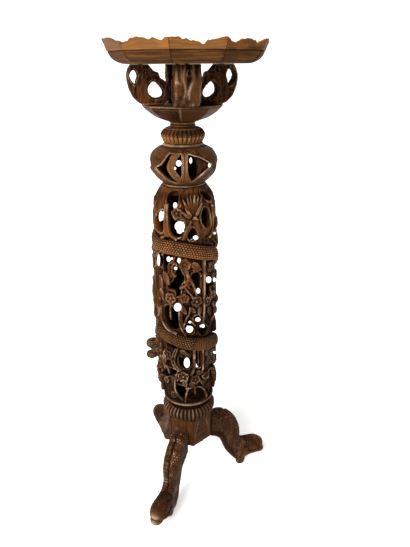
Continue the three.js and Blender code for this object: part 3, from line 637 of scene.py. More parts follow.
def board(k):
    mid = CORNER + 36 * (k + 0.5)
    sec = refine(BOARD, 1.25)
    n = 100
    s = np.linspace(-1, 1, n)
    S, Aa = np.meshgrid(s, sec[:, 0], indexing="ij")
    _, Zz = np.meshgrid(s, sec[:, 1], indexing="ij")
    A0, Z0 = Aa.copy(), Zz.copy()
    tan = math.tan(math.pi / SIDES)
    T = S * (Aa * tan - 0.16)
    lip = lip_height(mid + np.arctan2(T, Aa) / DEG)
    up = np.clip((Zz - 1022.5) / (1043.9 - 1022.5), 0, 1)
    drop = (1044 - lip) * up
    Zz = Zz - drop
    Aa = Aa - drop * 0.40
    T = S * (Aa * tan - 0.16)
    # carved facets under the lip, slow unevenness, saw and scraper marks
    d = np.stack([np.roll(A0, -1, 1) - np.roll(A0, 1, 1), np.roll(Z0, -1, 1) - np.roll(Z0, 1, 1)])
    ln = np.maximum(np.hypot(d[0], d[1]), 1e-9)
    nr, nz = d[1] / ln, -d[0] / ln
    outer = smooth(1000.4, 1002, Z0) * (nr > 0.1)
    inner = (nr < -0.05) & (Z0 > 1011) & (A0 < 146)
    wav = noise3(T / 16, Z0 / 8, Z0 * 0 + k * 7.3, 21) * 0.35 + noise3(T / 4, Z0 / 2.4, Z0 * 0 + k * 3.1, 22) * 0.16
    wav += noise3(T / 9, Z0 / 1.5, Z0 * 0 + k, 23) * 0.12
    chip = smooth(0.35, 0.8, noise3(T / 2.2, Z0 / 3, Z0 * 0 + k * 1.7, 24)) * smooth(1038, 1043.5, Z0)
    scallop = smooth(1028, 1043, Z0) * inner * 0.7 * np.cos(T * 0.9 + 2 * np.sin(T * 0.13 + k))
    line = groove(Z0, 1021.2, 0.55) * outer
    under = groove(Z0, 1004.6, 0.5) * outer
    move = wav * (outer + inner) - 0.75 * line - 0.6 * chip + scallop * 0.5
    Aa = Aa + move * nr
    Zz = Zz + move * nz
    near_end = 1 - np.abs(S)
    endline = smooth(0.022, 0.0, near_end)
    # painted shade in the groove lines, under the tray and low on the inner face; dark joints at the board ends
    cav = 0.9 * line + 0.55 * endline * (outer + inner) + 0.25 * under + 0.35 * smooth(1001.8, 1000, Z0) * (nz < 0) + 0.55 * inner * smooth(1026, 1012, Z0)
    hatch = smooth(0.35, 0.9, np.cos((T * 0.55 + Z0) * 2.3)) * smooth(0.16, 0.03, near_end) * outer * smooth(-0.3, 0.4, noise3(T / 4, Z0 / 5, Z0 * 0 + k, 28))
    cav = cav + smooth(0.5, 0.85, noise3(T / 7.0, Z0 / 0.9, Z0 * 0 + k * 5.5, 25)) * 0.14 * outer + 0.38 * (Z0 < 1021) * outer + 0.55 * hatch
    # the two boards on the right darker: painted shade
    cav = cav + (0.22 if k in (1, 2) else 0.0) * outer
    lipedge = smooth(1042.2, 1043.8, Z0)
    # painted highlight and wear along the lip and above the groove line
    edge = 0.38 * lipedge * (0.4 + 0.6 * smooth(-0.2, 0.5, noise3(T / 2.0, T * 0, T * 0 + k * 2.2, 26))) + 0.30 * groove(Z0, 1022.4, 0.5) * outer
    # boards on the front and left lighter: painted light; the rest vary at random
    tone = {9: 0.62, 0: 0.48, 8: 0.30, 1: 0.08, 2: 0.10}.get(k, 0.2 + 0.1 * math.sin(k * 2.4)) * outer * smooth(1020.5, 1023, Z0) + 0.05
    # the section closes round on itself; the board's open ends are capped later, by capped()
    m = sec.shape[0]
    a = mid * DEG
    X = Aa * math.sin(a) + T * math.cos(a)
    Y = -Aa * math.cos(a) + T * math.sin(a)
    V = to_world(X + TRAY_X, Y + TRAY_Y, Zz).reshape(-1, 3)
    i, j = np.meshgrid(np.arange(n - 1), np.arange(m), indexing="ij")
    j2 = (j + 1) % m
    Q = np.stack([i * m + j, (i + 1) * m + j, (i + 1) * m + j2, i * m + j2], -1).reshape(-1, 4)
    girth = np.broadcast_to(np.concatenate([[0], np.cumsum(np.hypot(np.diff(sec[:, 0]), np.diff(sec[:, 1])))])[None], Aa.shape)
    att = {"cav": np.clip(cav, 0, 1).ravel(), "edge": edge.ravel(), "tone": tone.ravel(), "run": (T * MM).ravel(), "girth": (girth * MM).ravel(), "number": np.full(Aa.size, 0.37 * k)}
    return V, Q, att, n, m


def loops_of(edges):
    """open edges grouped into the loops that they form"""
    near = {}
    for e in edges:
        for v in e.verts:
            near.setdefault(v, []).append(e)
    left, loops = set(edges), []
    for e in edges:
        if e not in left:
            continue
        left.discard(e)
        loop, todo = [e], [e]
        while todo:
            for v in todo.pop().verts:
                for o in near[v]:
                    if o in left:
                        left.discard(o)
                        loop.append(o)
                        todo.append(o)
        loops.append(loop)
    return loops


def capped(name, V, Q, att, rows):
    """mesh with each open end closed by triangles across it"""
    me = make_mesh(name, V, Q, att)
    bm = bmesh.new()
    bm.from_mesh(me)
    bm.verts.ensure_lookup_table()
    for loop in loops_of([e for e in bm.edges if e.is_boundary]):
        got = bmesh.ops.triangle_fill(bm, edges=loop, use_beauty=True, use_dissolve=False)
        for g in got["geom"]:
            if isinstance(g, bmesh.types.BMFace):
                g.smooth = False
                for e in g.edges:
                    if len(e.link_faces) == 2 and any(f.smooth for f in e.link_faces):
                        e.smooth = False
    bmesh.ops.recalc_face_normals(bm, faces=bm.faces)
    bm.to_mesh(me)
    bm.free()
    return me


for k in range(SIDES):
    V, Q, att, n, m = board(k)
    mid = (CORNER + 36 * (k + 0.5)) * DEG
    me = capped(f"tray_board_{k + 1}", V, Q, att, n)
    piece(f"tray_board_{k + 1}", me, mat_board, f"tray_rim_{k + 1}")


def floor_panel():
    """the tray's floor: boards side by side with fine joints, ten-sided, its edge tongued into the rim"""
    r = 105.7 / math.cos(math.pi / SIDES)
    z0, z1 = 1000.08, 1009.9
    n = 240
    ang = np.arange(n) * 2 * math.pi / n
    k = (ang / DEG - CORNER) % 36
    lim = 105.75 / np.cos((k - 18) * DEG)
    rad = np.concatenate([np.linspace(0.02, 0.985, 96), [0.995, 1.0]])
    out = []
    rings = []
    for zz, order in ((z1, rad), (z0, rad[::-1])):
        for t in order:
            rings.append((t, zz))
    tongue = [(1.0, z1 - 0.35), (1.0, 1006.9), (1.036, 1006.9), (1.036, 1003.1), (1.0, 1003.1), (1.0, z0 + 0.35)]
    rings = rings[:len(rad)] + tongue + rings[len(rad):]
    P, cav, tone = [], [], []
    for t, zz in rings:
        x, y = lim * t * np.sin(ang), -lim * t * np.cos(ang)
        top = abs(zz - z1) < 0.01
        bot = abs(zz - z0) < 0.01
        joint = np.abs(((y + 8) % 42.0) - 21)
        g = smooth(0.9, 0.0, joint) * (top or bot)
        w = 0.12 * noise3(x / 11, y / 5, x * 0 + zz, 31) * (top or bot)
        edge_drop = 0.35 * (t >= 0.999) * (1 if top else -1 if bot else 0)
        dz = (-0.5 * g + w - 0.0) * (1 if top else -1) - edge_drop
        P.append(to_world(x + TRAY_X, y + TRAY_Y, np.full(n, zz) + dz))
        # dark joints between the boards, painted shade along the edge under the rim, and a little all over
        cav.append(np.clip(0.8 * g + 0.35 * smooth(0.94, 1.0, t) + 0.15, 0, 1))
        tone.append(np.full(n, 0.15))
    P = np.concatenate(P)
    m = len(rings)
    i, j = np.meshgrid(np.arange(m - 1), np.arange(n), indexing="ij")
    j2 = (j + 1) % n
    Q = np.stack([i * n + j, (i + 1) * n + j, (i + 1) * n + j2, i * n + j2], -1).reshape(-1, 4)
    att = {"cav": np.concatenate(cav), "edge": np.zeros(len(P)), "tone": np.concatenate(tone)}
    return capped("tray_floor_boards", P, Q, att, m)


piece("tray_floor_boards", floor_panel(), mat_floor, "tray_floor")


# ------------------------------------------------------------------- the column
class Drum:
    """a field round the column's axis: axis 0 goes round, axis 1 up, axis 2 outwards"""

    def __init__(self, nu, z0, z1, dz, r0, r1, dr, rref):
        self.nu, self.rref = nu, rref
        self.z = np.arange(z0, z1 + dz / 2, dz, dtype=f4)
        self.r = np.arange(r0, r1 + dr / 2, dr, dtype=f4)
        self.dz, self.dr, self.cu = dz, dr, 2 * math.pi * rref / nu
        self.u = np.arange(nu, dtype=f4) * self.cu
        self.F = np.full((nu, len(self.z), len(self.r)), 5, f4)

    def U(self, phi):
        return (np.asarray(phi, float) + FRONT) * DEG * self.rref

    def window(self, u0, u1, z0, z1, r0=-1e9, r1=1e9):
        i0, i1 = int(math.floor(u0 / self.cu)), int(math.ceil(u1 / self.cu)) + 1
        i1 = min(i1, i0 + self.nu)
        i = np.arange(i0, i1)
        j0 = int(np.clip((z0 - self.z[0]) // self.dz, 0, len(self.z)))
        j1 = int(np.clip((z1 - self.z[0]) // self.dz + 2, 0, len(self.z)))
        k0 = int(np.clip((r0 - self.r[0]) // self.dr, 0, len(self.r)))
        k1 = int(np.clip((r1 - self.r[0]) // self.dr + 2, 0, len(self.r)))
        return i % self.nu, slice(j0, j1), slice(k0, k1), (i * self.cu).astype(f4), self.z[j0:j1], self.r[k0:k1]

    def join(self, w, G):
        i, js, ks = w[:3]
        self.F[i, js, ks] = np.minimum(self.F[i, js, ks], G)

    def tube(self, pts, w0, w1, r0, r1, rough=0.13, seed=1, down=5.5):
        P = spline([(self.U(p), z) for p, z in pts], 5)
        m = max(w0, w1) + 2
        w = self.window(P[:, 0].min() - m, P[:, 0].max() + m, P[:, 1].min() - m, P[:, 1].max() + m, min(r0, r1) - m - down, max(r0, r1) + m)
        if not len(w[4]) or not len(w[5]):
            return
        d, t, _ = line_sd(w[3][:, None], w[4][None], P)
        wid = w0 + (w1 - w0) * t
        if rough:
            wid = wid * (1 + rough * noise3(w[3][:, None] / 3.2, w[4][None] / 3.2, np.zeros(1), seed))
        rc = r0 + (r1 - r0) * t
        h = w[5][None, None] - rc[..., None]
        G = np.hypot(d[..., None], np.where(h > 0, h, np.maximum(-h - down, 0))) - wid[..., None]
        self.join(w, G.astype(f4))

    def plate(self, w, mask, top, bottom):
        R = w[5][None, None]
        G = np.maximum(np.maximum(mask[..., None], R - top[..., None]), (bottom - R) if np.isscalar(bottom) else bottom[..., None] - R)
        self.join(w, G.astype(f4))

    def leaf(self, a, b, width, r, h=3.0, thick=4.5, veins=0.5, bend=0.0, crease=1.0):
        A = np.array([self.U(a[0]), a[1]])
        B = np.array([self.U(b[0]), b[1]])
        L = np.hypot(*(B - A))
        e = (B - A) / L
        nrm = np.array([-e[1], e[0]])
        lo, hi = np.minimum(A, B) - width - 2 - abs(bend), np.maximum(A, B) + width + 2 + abs(bend)
        w = self.window(lo[0], hi[0], lo[1], hi[1], r - thick - 2, r + h + 3)
        if not len(w[4]) or not len(w[5]):
            return
        X, Y = w[3][:, None] - A[0], w[4][None] - A[1]
        s = (X * e[0] + Y * e[1]) / L
        c = X * nrm[0] + Y * nrm[1] - bend * np.sin(np.pi * np.clip(s, 0, 1))
        sc = np.clip(s, 0, 1)
        half = width * np.clip(np.sin(np.pi * sc ** 0.75), 0, 1) ** 0.85
        mask = np.maximum(np.abs(c) - half, np.maximum(-s, s - 1) * L)
        q = np.clip(np.abs(c) / np.maximum(half, 0.5), 0, 1)
        top = r + h * (1 - q ** 2) * np.clip(np.sin(np.pi * np.clip(sc, 0.02, 0.98)), 0, 1) ** 0.5 + 0.5
        top = top - crease * np.exp(-(c / 0.75) ** 2) + veins * np.cos((s * L - np.abs(c) * 0.9) * 2.4) * (q < 0.92) * (q > 0.12)
        self.plate(w, mask, top, r - thick)

    def flower(self, phi, z, rad, r, h=3.0, thick=5.0, petals=5, turn=0.0, eye=True):
        u0 = float(self.U(phi))
        w = self.window(u0 - rad - 3, u0 + rad + 3, z - rad - 3, z + rad + 3, r - thick - 2, r + h + 5)
        if not len(w[4]) or not len(w[5]):
            return
        X, Y = w[3][:, None] - u0, w[4][None] - z
        rho = np.hypot(X, Y)
        best = np.full(rho.shape, 1e9, f4)
        lift = np.zeros(rho.shape, f4)
        for k in range(petals):
            a = turn + 2 * math.pi * k / petals
            cx, cy = 0.56 * rad * math.cos(a), 0.56 * rad * math.sin(a)
            d = np.hypot(X - cx, Y - cy) / (0.46 * rad)
            m = d < best
            best = np.where(m, d, best)
            lift = np.where(m, 0.35 * (k % 2), lift)
        mask = (best - 1) * 0.46 * rad
        mask = np.minimum(mask, rho - 0.35 * rad)
        cup = h * np.clip(best, 0, 1.1) ** 2.2
        top = r + 0.6 + cup + lift - 1.3 * smooth(0.55, 0.3, rho / rad)
        if eye:
            er = max(0.24 * rad, 1.8)
            dome = np.sqrt(np.clip(1 - (rho / er) ** 2, 0, 1))
            top = np.where(rho < er, r + 0.2 + 2.6 * dome - 0.9 * np.exp(-(rho / (0.35 * er)) ** 2), top)
            top = top - 0.8 * np.exp(-((rho - er * 1.15) / 0.8) ** 2)
        self.plate(w, mask, top, r - thick)

    def ball(self, phi, z, a, b, c, r, lumps=0.0, seed=5):
        u0 = float(self.U(phi))
        w = self.window(u0 - a - 2, u0 + a + 2, z - b - 2, z + b + 2, r - c - 2, r + c + 2)
        if not len(w[4]) or not len(w[5]):
            return
        X, Y, R = (w[3][:, None, None] - u0) / a, (w[4][None, :, None] - z) / b, (w[5][None, None] - r) / c
        G = (np.sqrt(X * X + Y * Y + R * R) - 1) * min(a, b, c)
        if lumps:
            G = G + lumps * noise3(w[3][:, None, None] / 3, w[4][None, :, None] / 3, w[5][None, None] / 3, seed)
        self.join(w, G.astype(f4))

    def needles(self, phi, z, rad, r, n=13, h=2.2, thick=4.0, turn=0.0, spread=2 * math.pi):
        """a tuft of needles: thin pointed rays from one point"""
        u0 = float(self.U(phi))
        w = self.window(u0 - rad - 2, u0 + rad + 2, z - rad - 2, z + rad + 2, r - thick - 2, r + h + 3)
        if not len(w[4]) or not len(w[5]):
            return
        X, Y = w[3][:, None] - u0, w[4][None] - z
        rho, th = np.hypot(X, Y), np.arctan2(Y, X)
        a = ((th - turn + math.pi) % (2 * math.pi)) - math.pi
        ray = np.cos(a * n)
        lim = rad * (0.72 + 0.28 * ray)
        mask = np.maximum(rho - lim, (np.abs(a) - spread / 2) * rho)
        top = r + 0.8 + h * (1 - (rho / rad) ** 2) + 0.85 * ray * smooth(0.1, 0.45, rho / rad)
        self.plate(w, mask, top, r - thick)


COIL = [(-168, 688), (-120, 668), (-65, 655), (-22, 655), (11, 649), (50, 636), (71, 629), (110, 600), (150, 562), (190, 524),
        (230, 490), (265, 466), (295, 449), (333, 441), (370, 430), (406, 421), (427, 416), (448, 407), (466, 398), (496, 386), (530, 370),
        (555, 360), (585, 350), (612, 346), (628, 350)]
COIL_P, COIL_Z = np.array(COIL, float).T

# the openwork seen from the front: outlines as (phi from the front, z)
WINDOWS = [
    [(-30.5, 766.2), (-17.3, 770.0), (-10.4, 767.3), (-9.4, 750.9), (-17.0, 740.4), (-19.0, 730.3), (-18.3, 720.3), (-14.0, 713.7), (-0.6, 714.9), (1.4, 706.3), (3.4, 699.2), (0.3, 688.9), (-3.2, 682.6), (-11.9, 678.0), (-19.1, 679.3), (-25.6, 686.6), (-28.6, 700.4), (-29.0, 718.5), (-28.6, 738.7), (-33.1, 750.1), (-33.8, 759.8)],
    [(-46.9, 729.2), (-40.4, 731.7), (-37.6, 727.4), (-36.7, 717.5), (-37.0, 707.2), (-39.4, 688.9), (-47.6, 683.6), (-57.2, 686.0), (-66.8, 695.4), (-67.1, 706.9), (-56.1, 721.9)],
    [(13.2, 699.7), (21.2, 694.8), (24.8, 680.8), (23.0, 673.7), (15.7, 670.5), (8.8, 675.2), (5.4, 687.8), (7.2, 697.0)],
    [(41.0, 736.1), (50.8, 731.8), (55.3, 718.4), (57.2, 702.3), (51.3, 691.5), (41.2, 696.2), (34.6, 707.9), (33.6, 720.4), (36.7, 731.9)],
    [(43.9, 766.5), (54.8, 763.6), (68.5, 748.3), (58.9, 745.0), (47.5, 752.1), (42.8, 760.8)],
    [(67.1, 708.8), (80.9, 704.1), (86.6, 674.8), (83.1, 657.4), (71.4, 659.4), (65.0, 677.6)],
    [(-60.8, 632.6), (-53.0, 634.3), (-51.2, 621.7), (-52.8, 607.8), (-59.5, 604.0), (-63.9, 616.9)],
    [(-46.8, 635.3), (-23.8, 639.1), (-24.1, 625.0), (-33.7, 618.4), (-35.5, 598.0), (-47.1, 596.5), (-50.6, 617.5)],
    [(-16.2, 636.0), (-9.2, 635.8), (-8.1, 622.9), (-11.9, 615.0), (-6.7, 603.1), (-0.8, 587.9), (-8.2, 571.6), (-8.6, 556.8), (-10.4, 548.9), (-17.9, 545.5), (-18.7, 556.8), (-27.6, 559.7), (-36.6, 558.4), (-38.8, 566.4), (-25.2, 578.2), (-20.9, 592.6), (-18.1, 602.6), (-19.7, 617.7)],
    [(15.4, 597.2), (26.7, 598.4), (32.8, 585.7), (31.8, 572.4), (30.7, 549.8), (24.6, 550.1), (18.9, 560.4), (18.9, 575.2), (13.5, 588.3)],
    [(42.4, 589.6), (52.5, 584.1), (72.9, 582.0), (80.5, 560.0), (59.4, 556.5), (57.9, 543.2), (45.8, 542.0), (41.9, 562.4)],
    [(-22.3, 520.1), (-14.3, 529.8), (-7.0, 524.8), (-9.0, 512.9), (-14.7, 508.5), (-18.5, 510.6)],
    [(-53.0, 504.7), (-44.1, 517.0), (-34.1, 520.0), (-24.8, 518.4), (-17.1, 511.5), (-14.5, 483.3), (-17.8, 465.2), (-26.3, 461.8), (-37.0, 461.9), (-45.5, 468.9), (-52.2, 482.6)],
    [(4.8, 497.6), (13.3, 484.9), (16.6, 470.7), (16.1, 458.2), (10.2, 453.0), (2.5, 455.1), (-2.1, 465.1), (-0.1, 482.1)],
    [(15.7, 493.2), (24.2, 498.6), (31.7, 489.7), (25.2, 483.1)],
    [(29.5, 473.3), (36.3, 479.7), (43.9, 468.8), (52.7, 456.2), (48.2, 444.2), (38.8, 443.3), (30.6, 451.5), (27.3, 464.4)],
    [(-48.2, 425.8), (-34.2, 428.4), (-22.8, 421.9), (-20.9, 410.7), (-23.3, 399.5), (-28.9, 401.6), (-34.6, 411.2), (-50.4, 410.7)],
    [(-15.9, 395.6), (-6.9, 390.4), (-0.0, 392.0), (9.8, 400.4), (12.7, 389.8), (11.7, 376.6), (6.6, 366.8), (-3.2, 364.3), (-13.2, 370.8), (-17.2, 381.8)],
    [(20.9, 409.1), (28.4, 406.9), (30.6, 384.9), (29.5, 367.2), (20.8, 367.3), (19.8, 391.0)],
    [(-70.9, 341.4), (-46.2, 355.4), (-30.6, 358.0), (-21.7, 357.5), (-29.1, 343.7), (-42.3, 335.4), (-61.1, 326.4)],
    [(-24.9, 316.9), (-14.0, 317.2), (-2.8, 313.1), (-2.0, 294.9), (-6.2, 283.2), (-16.7, 282.1), (-23.1, 291.6), (-26.4, 303.7)],
    [(3.2, 307.5), (16.4, 312.7), (29.5, 305.7), (40.7, 288.8), (46.5, 272.4), (39.5, 269.8), (16.3, 273.9), (2.9, 280.0), (1.0, 294.9)],
]
# the openwork of the sides and back: (phi from the front, z, half width in degrees, half height)
OVALS = [
    (98, 712, 11, 25), (128, 718, 11, 24), (160, 714, 12, 26), (198, 713, 12, 20), (237, 707, 12, 22), (268, 714, 11, 25),
    (108, 661, 11, 13), (138, 652, 11, 16), (163, 636, 11, 15), (192, 661, 12, 15), (140, 614, 10, 14), (172, 600, 11, 15), (116, 638, 8, 9),
    (199, 573, 11, 18), (221, 588, 10, 15), (252, 598, 11, 21), (285, 612, 9, 15), (225, 548, 11, 16), (250, 555, 10, 12), (276, 548, 9, 20), (222, 632, 11, 15), (255, 633, 8, 9), (198, 622, 9, 14),
    (94, 520, 12, 22), (107, 552, 7, 8), (127, 541, 11, 11), (128, 497, 12, 20), (156, 504, 9, 14), (178, 484, 11, 20), (150, 460, 11, 16), (118, 454, 10, 15), (92, 468, 9, 18), (84, 560, 6, 14),
    (202, 457, 12, 15), (176, 439, 10, 12), (230, 440, 11, 17), (256, 423, 10, 16), (152, 420, 12, 14), (176, 401, 12, 14), (204, 410, 11, 18), (232, 388, 10, 20), (285, 500, 10, 18), (260, 520, 9, 15), (285, 412, 8, 12),
    (88, 348, 10, 18), (105, 362, 7, 8), (118, 340, 10, 16), (148, 338, 11, 16), (154, 294, 10, 13), (180, 302, 12, 20), (184, 342, 10, 10), (215, 318, 11, 18), (246, 311, 11, 18), (276, 322, 9, 16), (60, 332, 8, 12),
    (92, 293, 12, 15), (122, 290, 12, 14), (212, 281, 10, 10), (244, 277, 10, 9), (276, 282, 12, 11), (66, 290, 9, 12),
]


# straight through: (across, down, half width, half height) in the view from the front,
# whose units are 1/491.4 of the distance along it, measured from the corner of its frame
SIGHT = [
    (174.2, 205.2, 2.0, 2.8), (160.2, 216.6, 2.3, 5.8), (178.8, 226.3, 5.0, 5.0), (213.6, 233.2, 1.1, 1.3), (194.6, 237.6, 2.7, 2.1), (157.7, 260.2, 1.3, 6.0),
    (167.7, 259.2, 2.0, 2.7), (178.0, 260.4, 1.6, 2.5), (174.7, 268.4, 1.6, 1.6), (207.6, 279.7, 2.7, 3.2), (213.4, 279.7, 1.5, 2.2), (197.3, 290.8, 1.8, 2.8),
    (176.7, 307.3, 3.7, 4.1), (196.9, 319.6, 2.6, 2.1), (189.0, 322.1, 1.5, 1.2), (202.1, 326.0, 1.8, 1.8), (188.6, 329.0, 3.7, 2.9), (185.9, 362.8, 2.9, 5.1), (195.9, 366.4, 1.1, 0.9),
    (213.9, 352.4, 1.9, 1.3),
]
# and the far wall left standing: (across, down, half width, half height)
STAND = [
    (176.8, 199.5, 4.5, 8.0), (185.5, 226.5, 3.0, 8.0), (190.2, 234.6, 2.6, 4.5), (181.0, 268.8, 4.0, 3.0), (177.0, 316.0, 6.0, 6.0), (189.0, 322.0, 9.0, 4.0), (178.0, 327.5, 4.0, 4.5), (191.0, 361.0, 3.0, 6.5),
]
# the same for the bulb
BULB_SIGHT = [(189.7, 160.5, 1.4, 3.0), (177.7, 163.4, 2.8, 3.0), (208.3, 165.3, 1.2, 2.2), (174.2, 168.3, 1.0, 1.4)]
BULB_STAND = [(170.4, 157.0, 3.4, 5.5), (176.9, 157.4, 3.0, 2.6), (182.5, 160.5, 3.0, 6.0)]


def in_view(x, y, z):
    """millimetres round the axis, seen from the front -> place in the view"""
    x, y, z = x / 1000, y / 1000, z / 1000
    ahead = (1 + y) * math.cos(PITCH) + (1 - z) * math.sin(PITCH)
    down = -(1 + y) * math.sin(PITCH) + (1 - z) * math.cos(PITCH)
    a, b = 491.4 * (x - 0.0441) / ahead, 491.4 * down / ahead
    return 205 + math.cos(ROLL) * a - math.sin(ROLL) * b, 273.5 + math.sin(ROLL) * a + math.cos(ROLL) * b


def see_through(D, ref, front, sight, stand, r_in, r_out, z_all):
    """cuts the sight lines through both walls; front is added to the drum's angle to face the view"""
    ang = D.u / ref - front
    for (cx, cy, a, b), solid in [(q, True) for q in stand] + [(q, False) for q in sight]:
        for far in (False, True):
            if solid and not far:
                continue
            if far and not solid:
                continue
            cols = np.nonzero(np.cos(ang) < -0.12)[0] if far else np.arange(len(ang))
            # a coarse look first, to find the levels and columns that the ellipse reaches
            A_, Z_ = np.meshgrid(ang[cols], D.z, indexing="ij")
            rm = 0.5 * (r_in + r_out)
            px, py = in_view(rm * np.sin(A_), -rm * np.cos(A_), Z_)
            near = (np.abs(px - cx) < a + 5) & (np.abs(py - cy) < b + 9)
            if not near.any():
                continue
            ci, zi = np.nonzero(near.any(1))[0], np.nonzero(near.any(0))[0]
            ci = cols[ci]
            zi = slice(zi[0], zi[-1] + 1)
            A3, Z3, R3 = ang[ci][:, None, None], D.z[zi][None, :, None], D.r[None, None, :]
            px, py = in_view(R3 * np.sin(A3), -R3 * np.cos(A3), Z3 + 0 * A3)
            e = (1 - np.hypot((px - cx) / a, (py - cy) / b)) * min(a, b) * 2.2
            part = D.F[ci, zi]
            if solid:
                part = np.minimum(part, np.maximum(-e, np.maximum(R3 - r_out + 5, r_in - R3)))
            else:
                part = np.maximum(part, e)
            D.F[ci, zi] = part.astype(f4)


def coil_centre(phi, k):
    p = phi + 360.0 * k
    return np.interp(p, COIL_P, COIL_Z), (p >= COIL_P[0]) & (p <= COIL_P[-1]), p


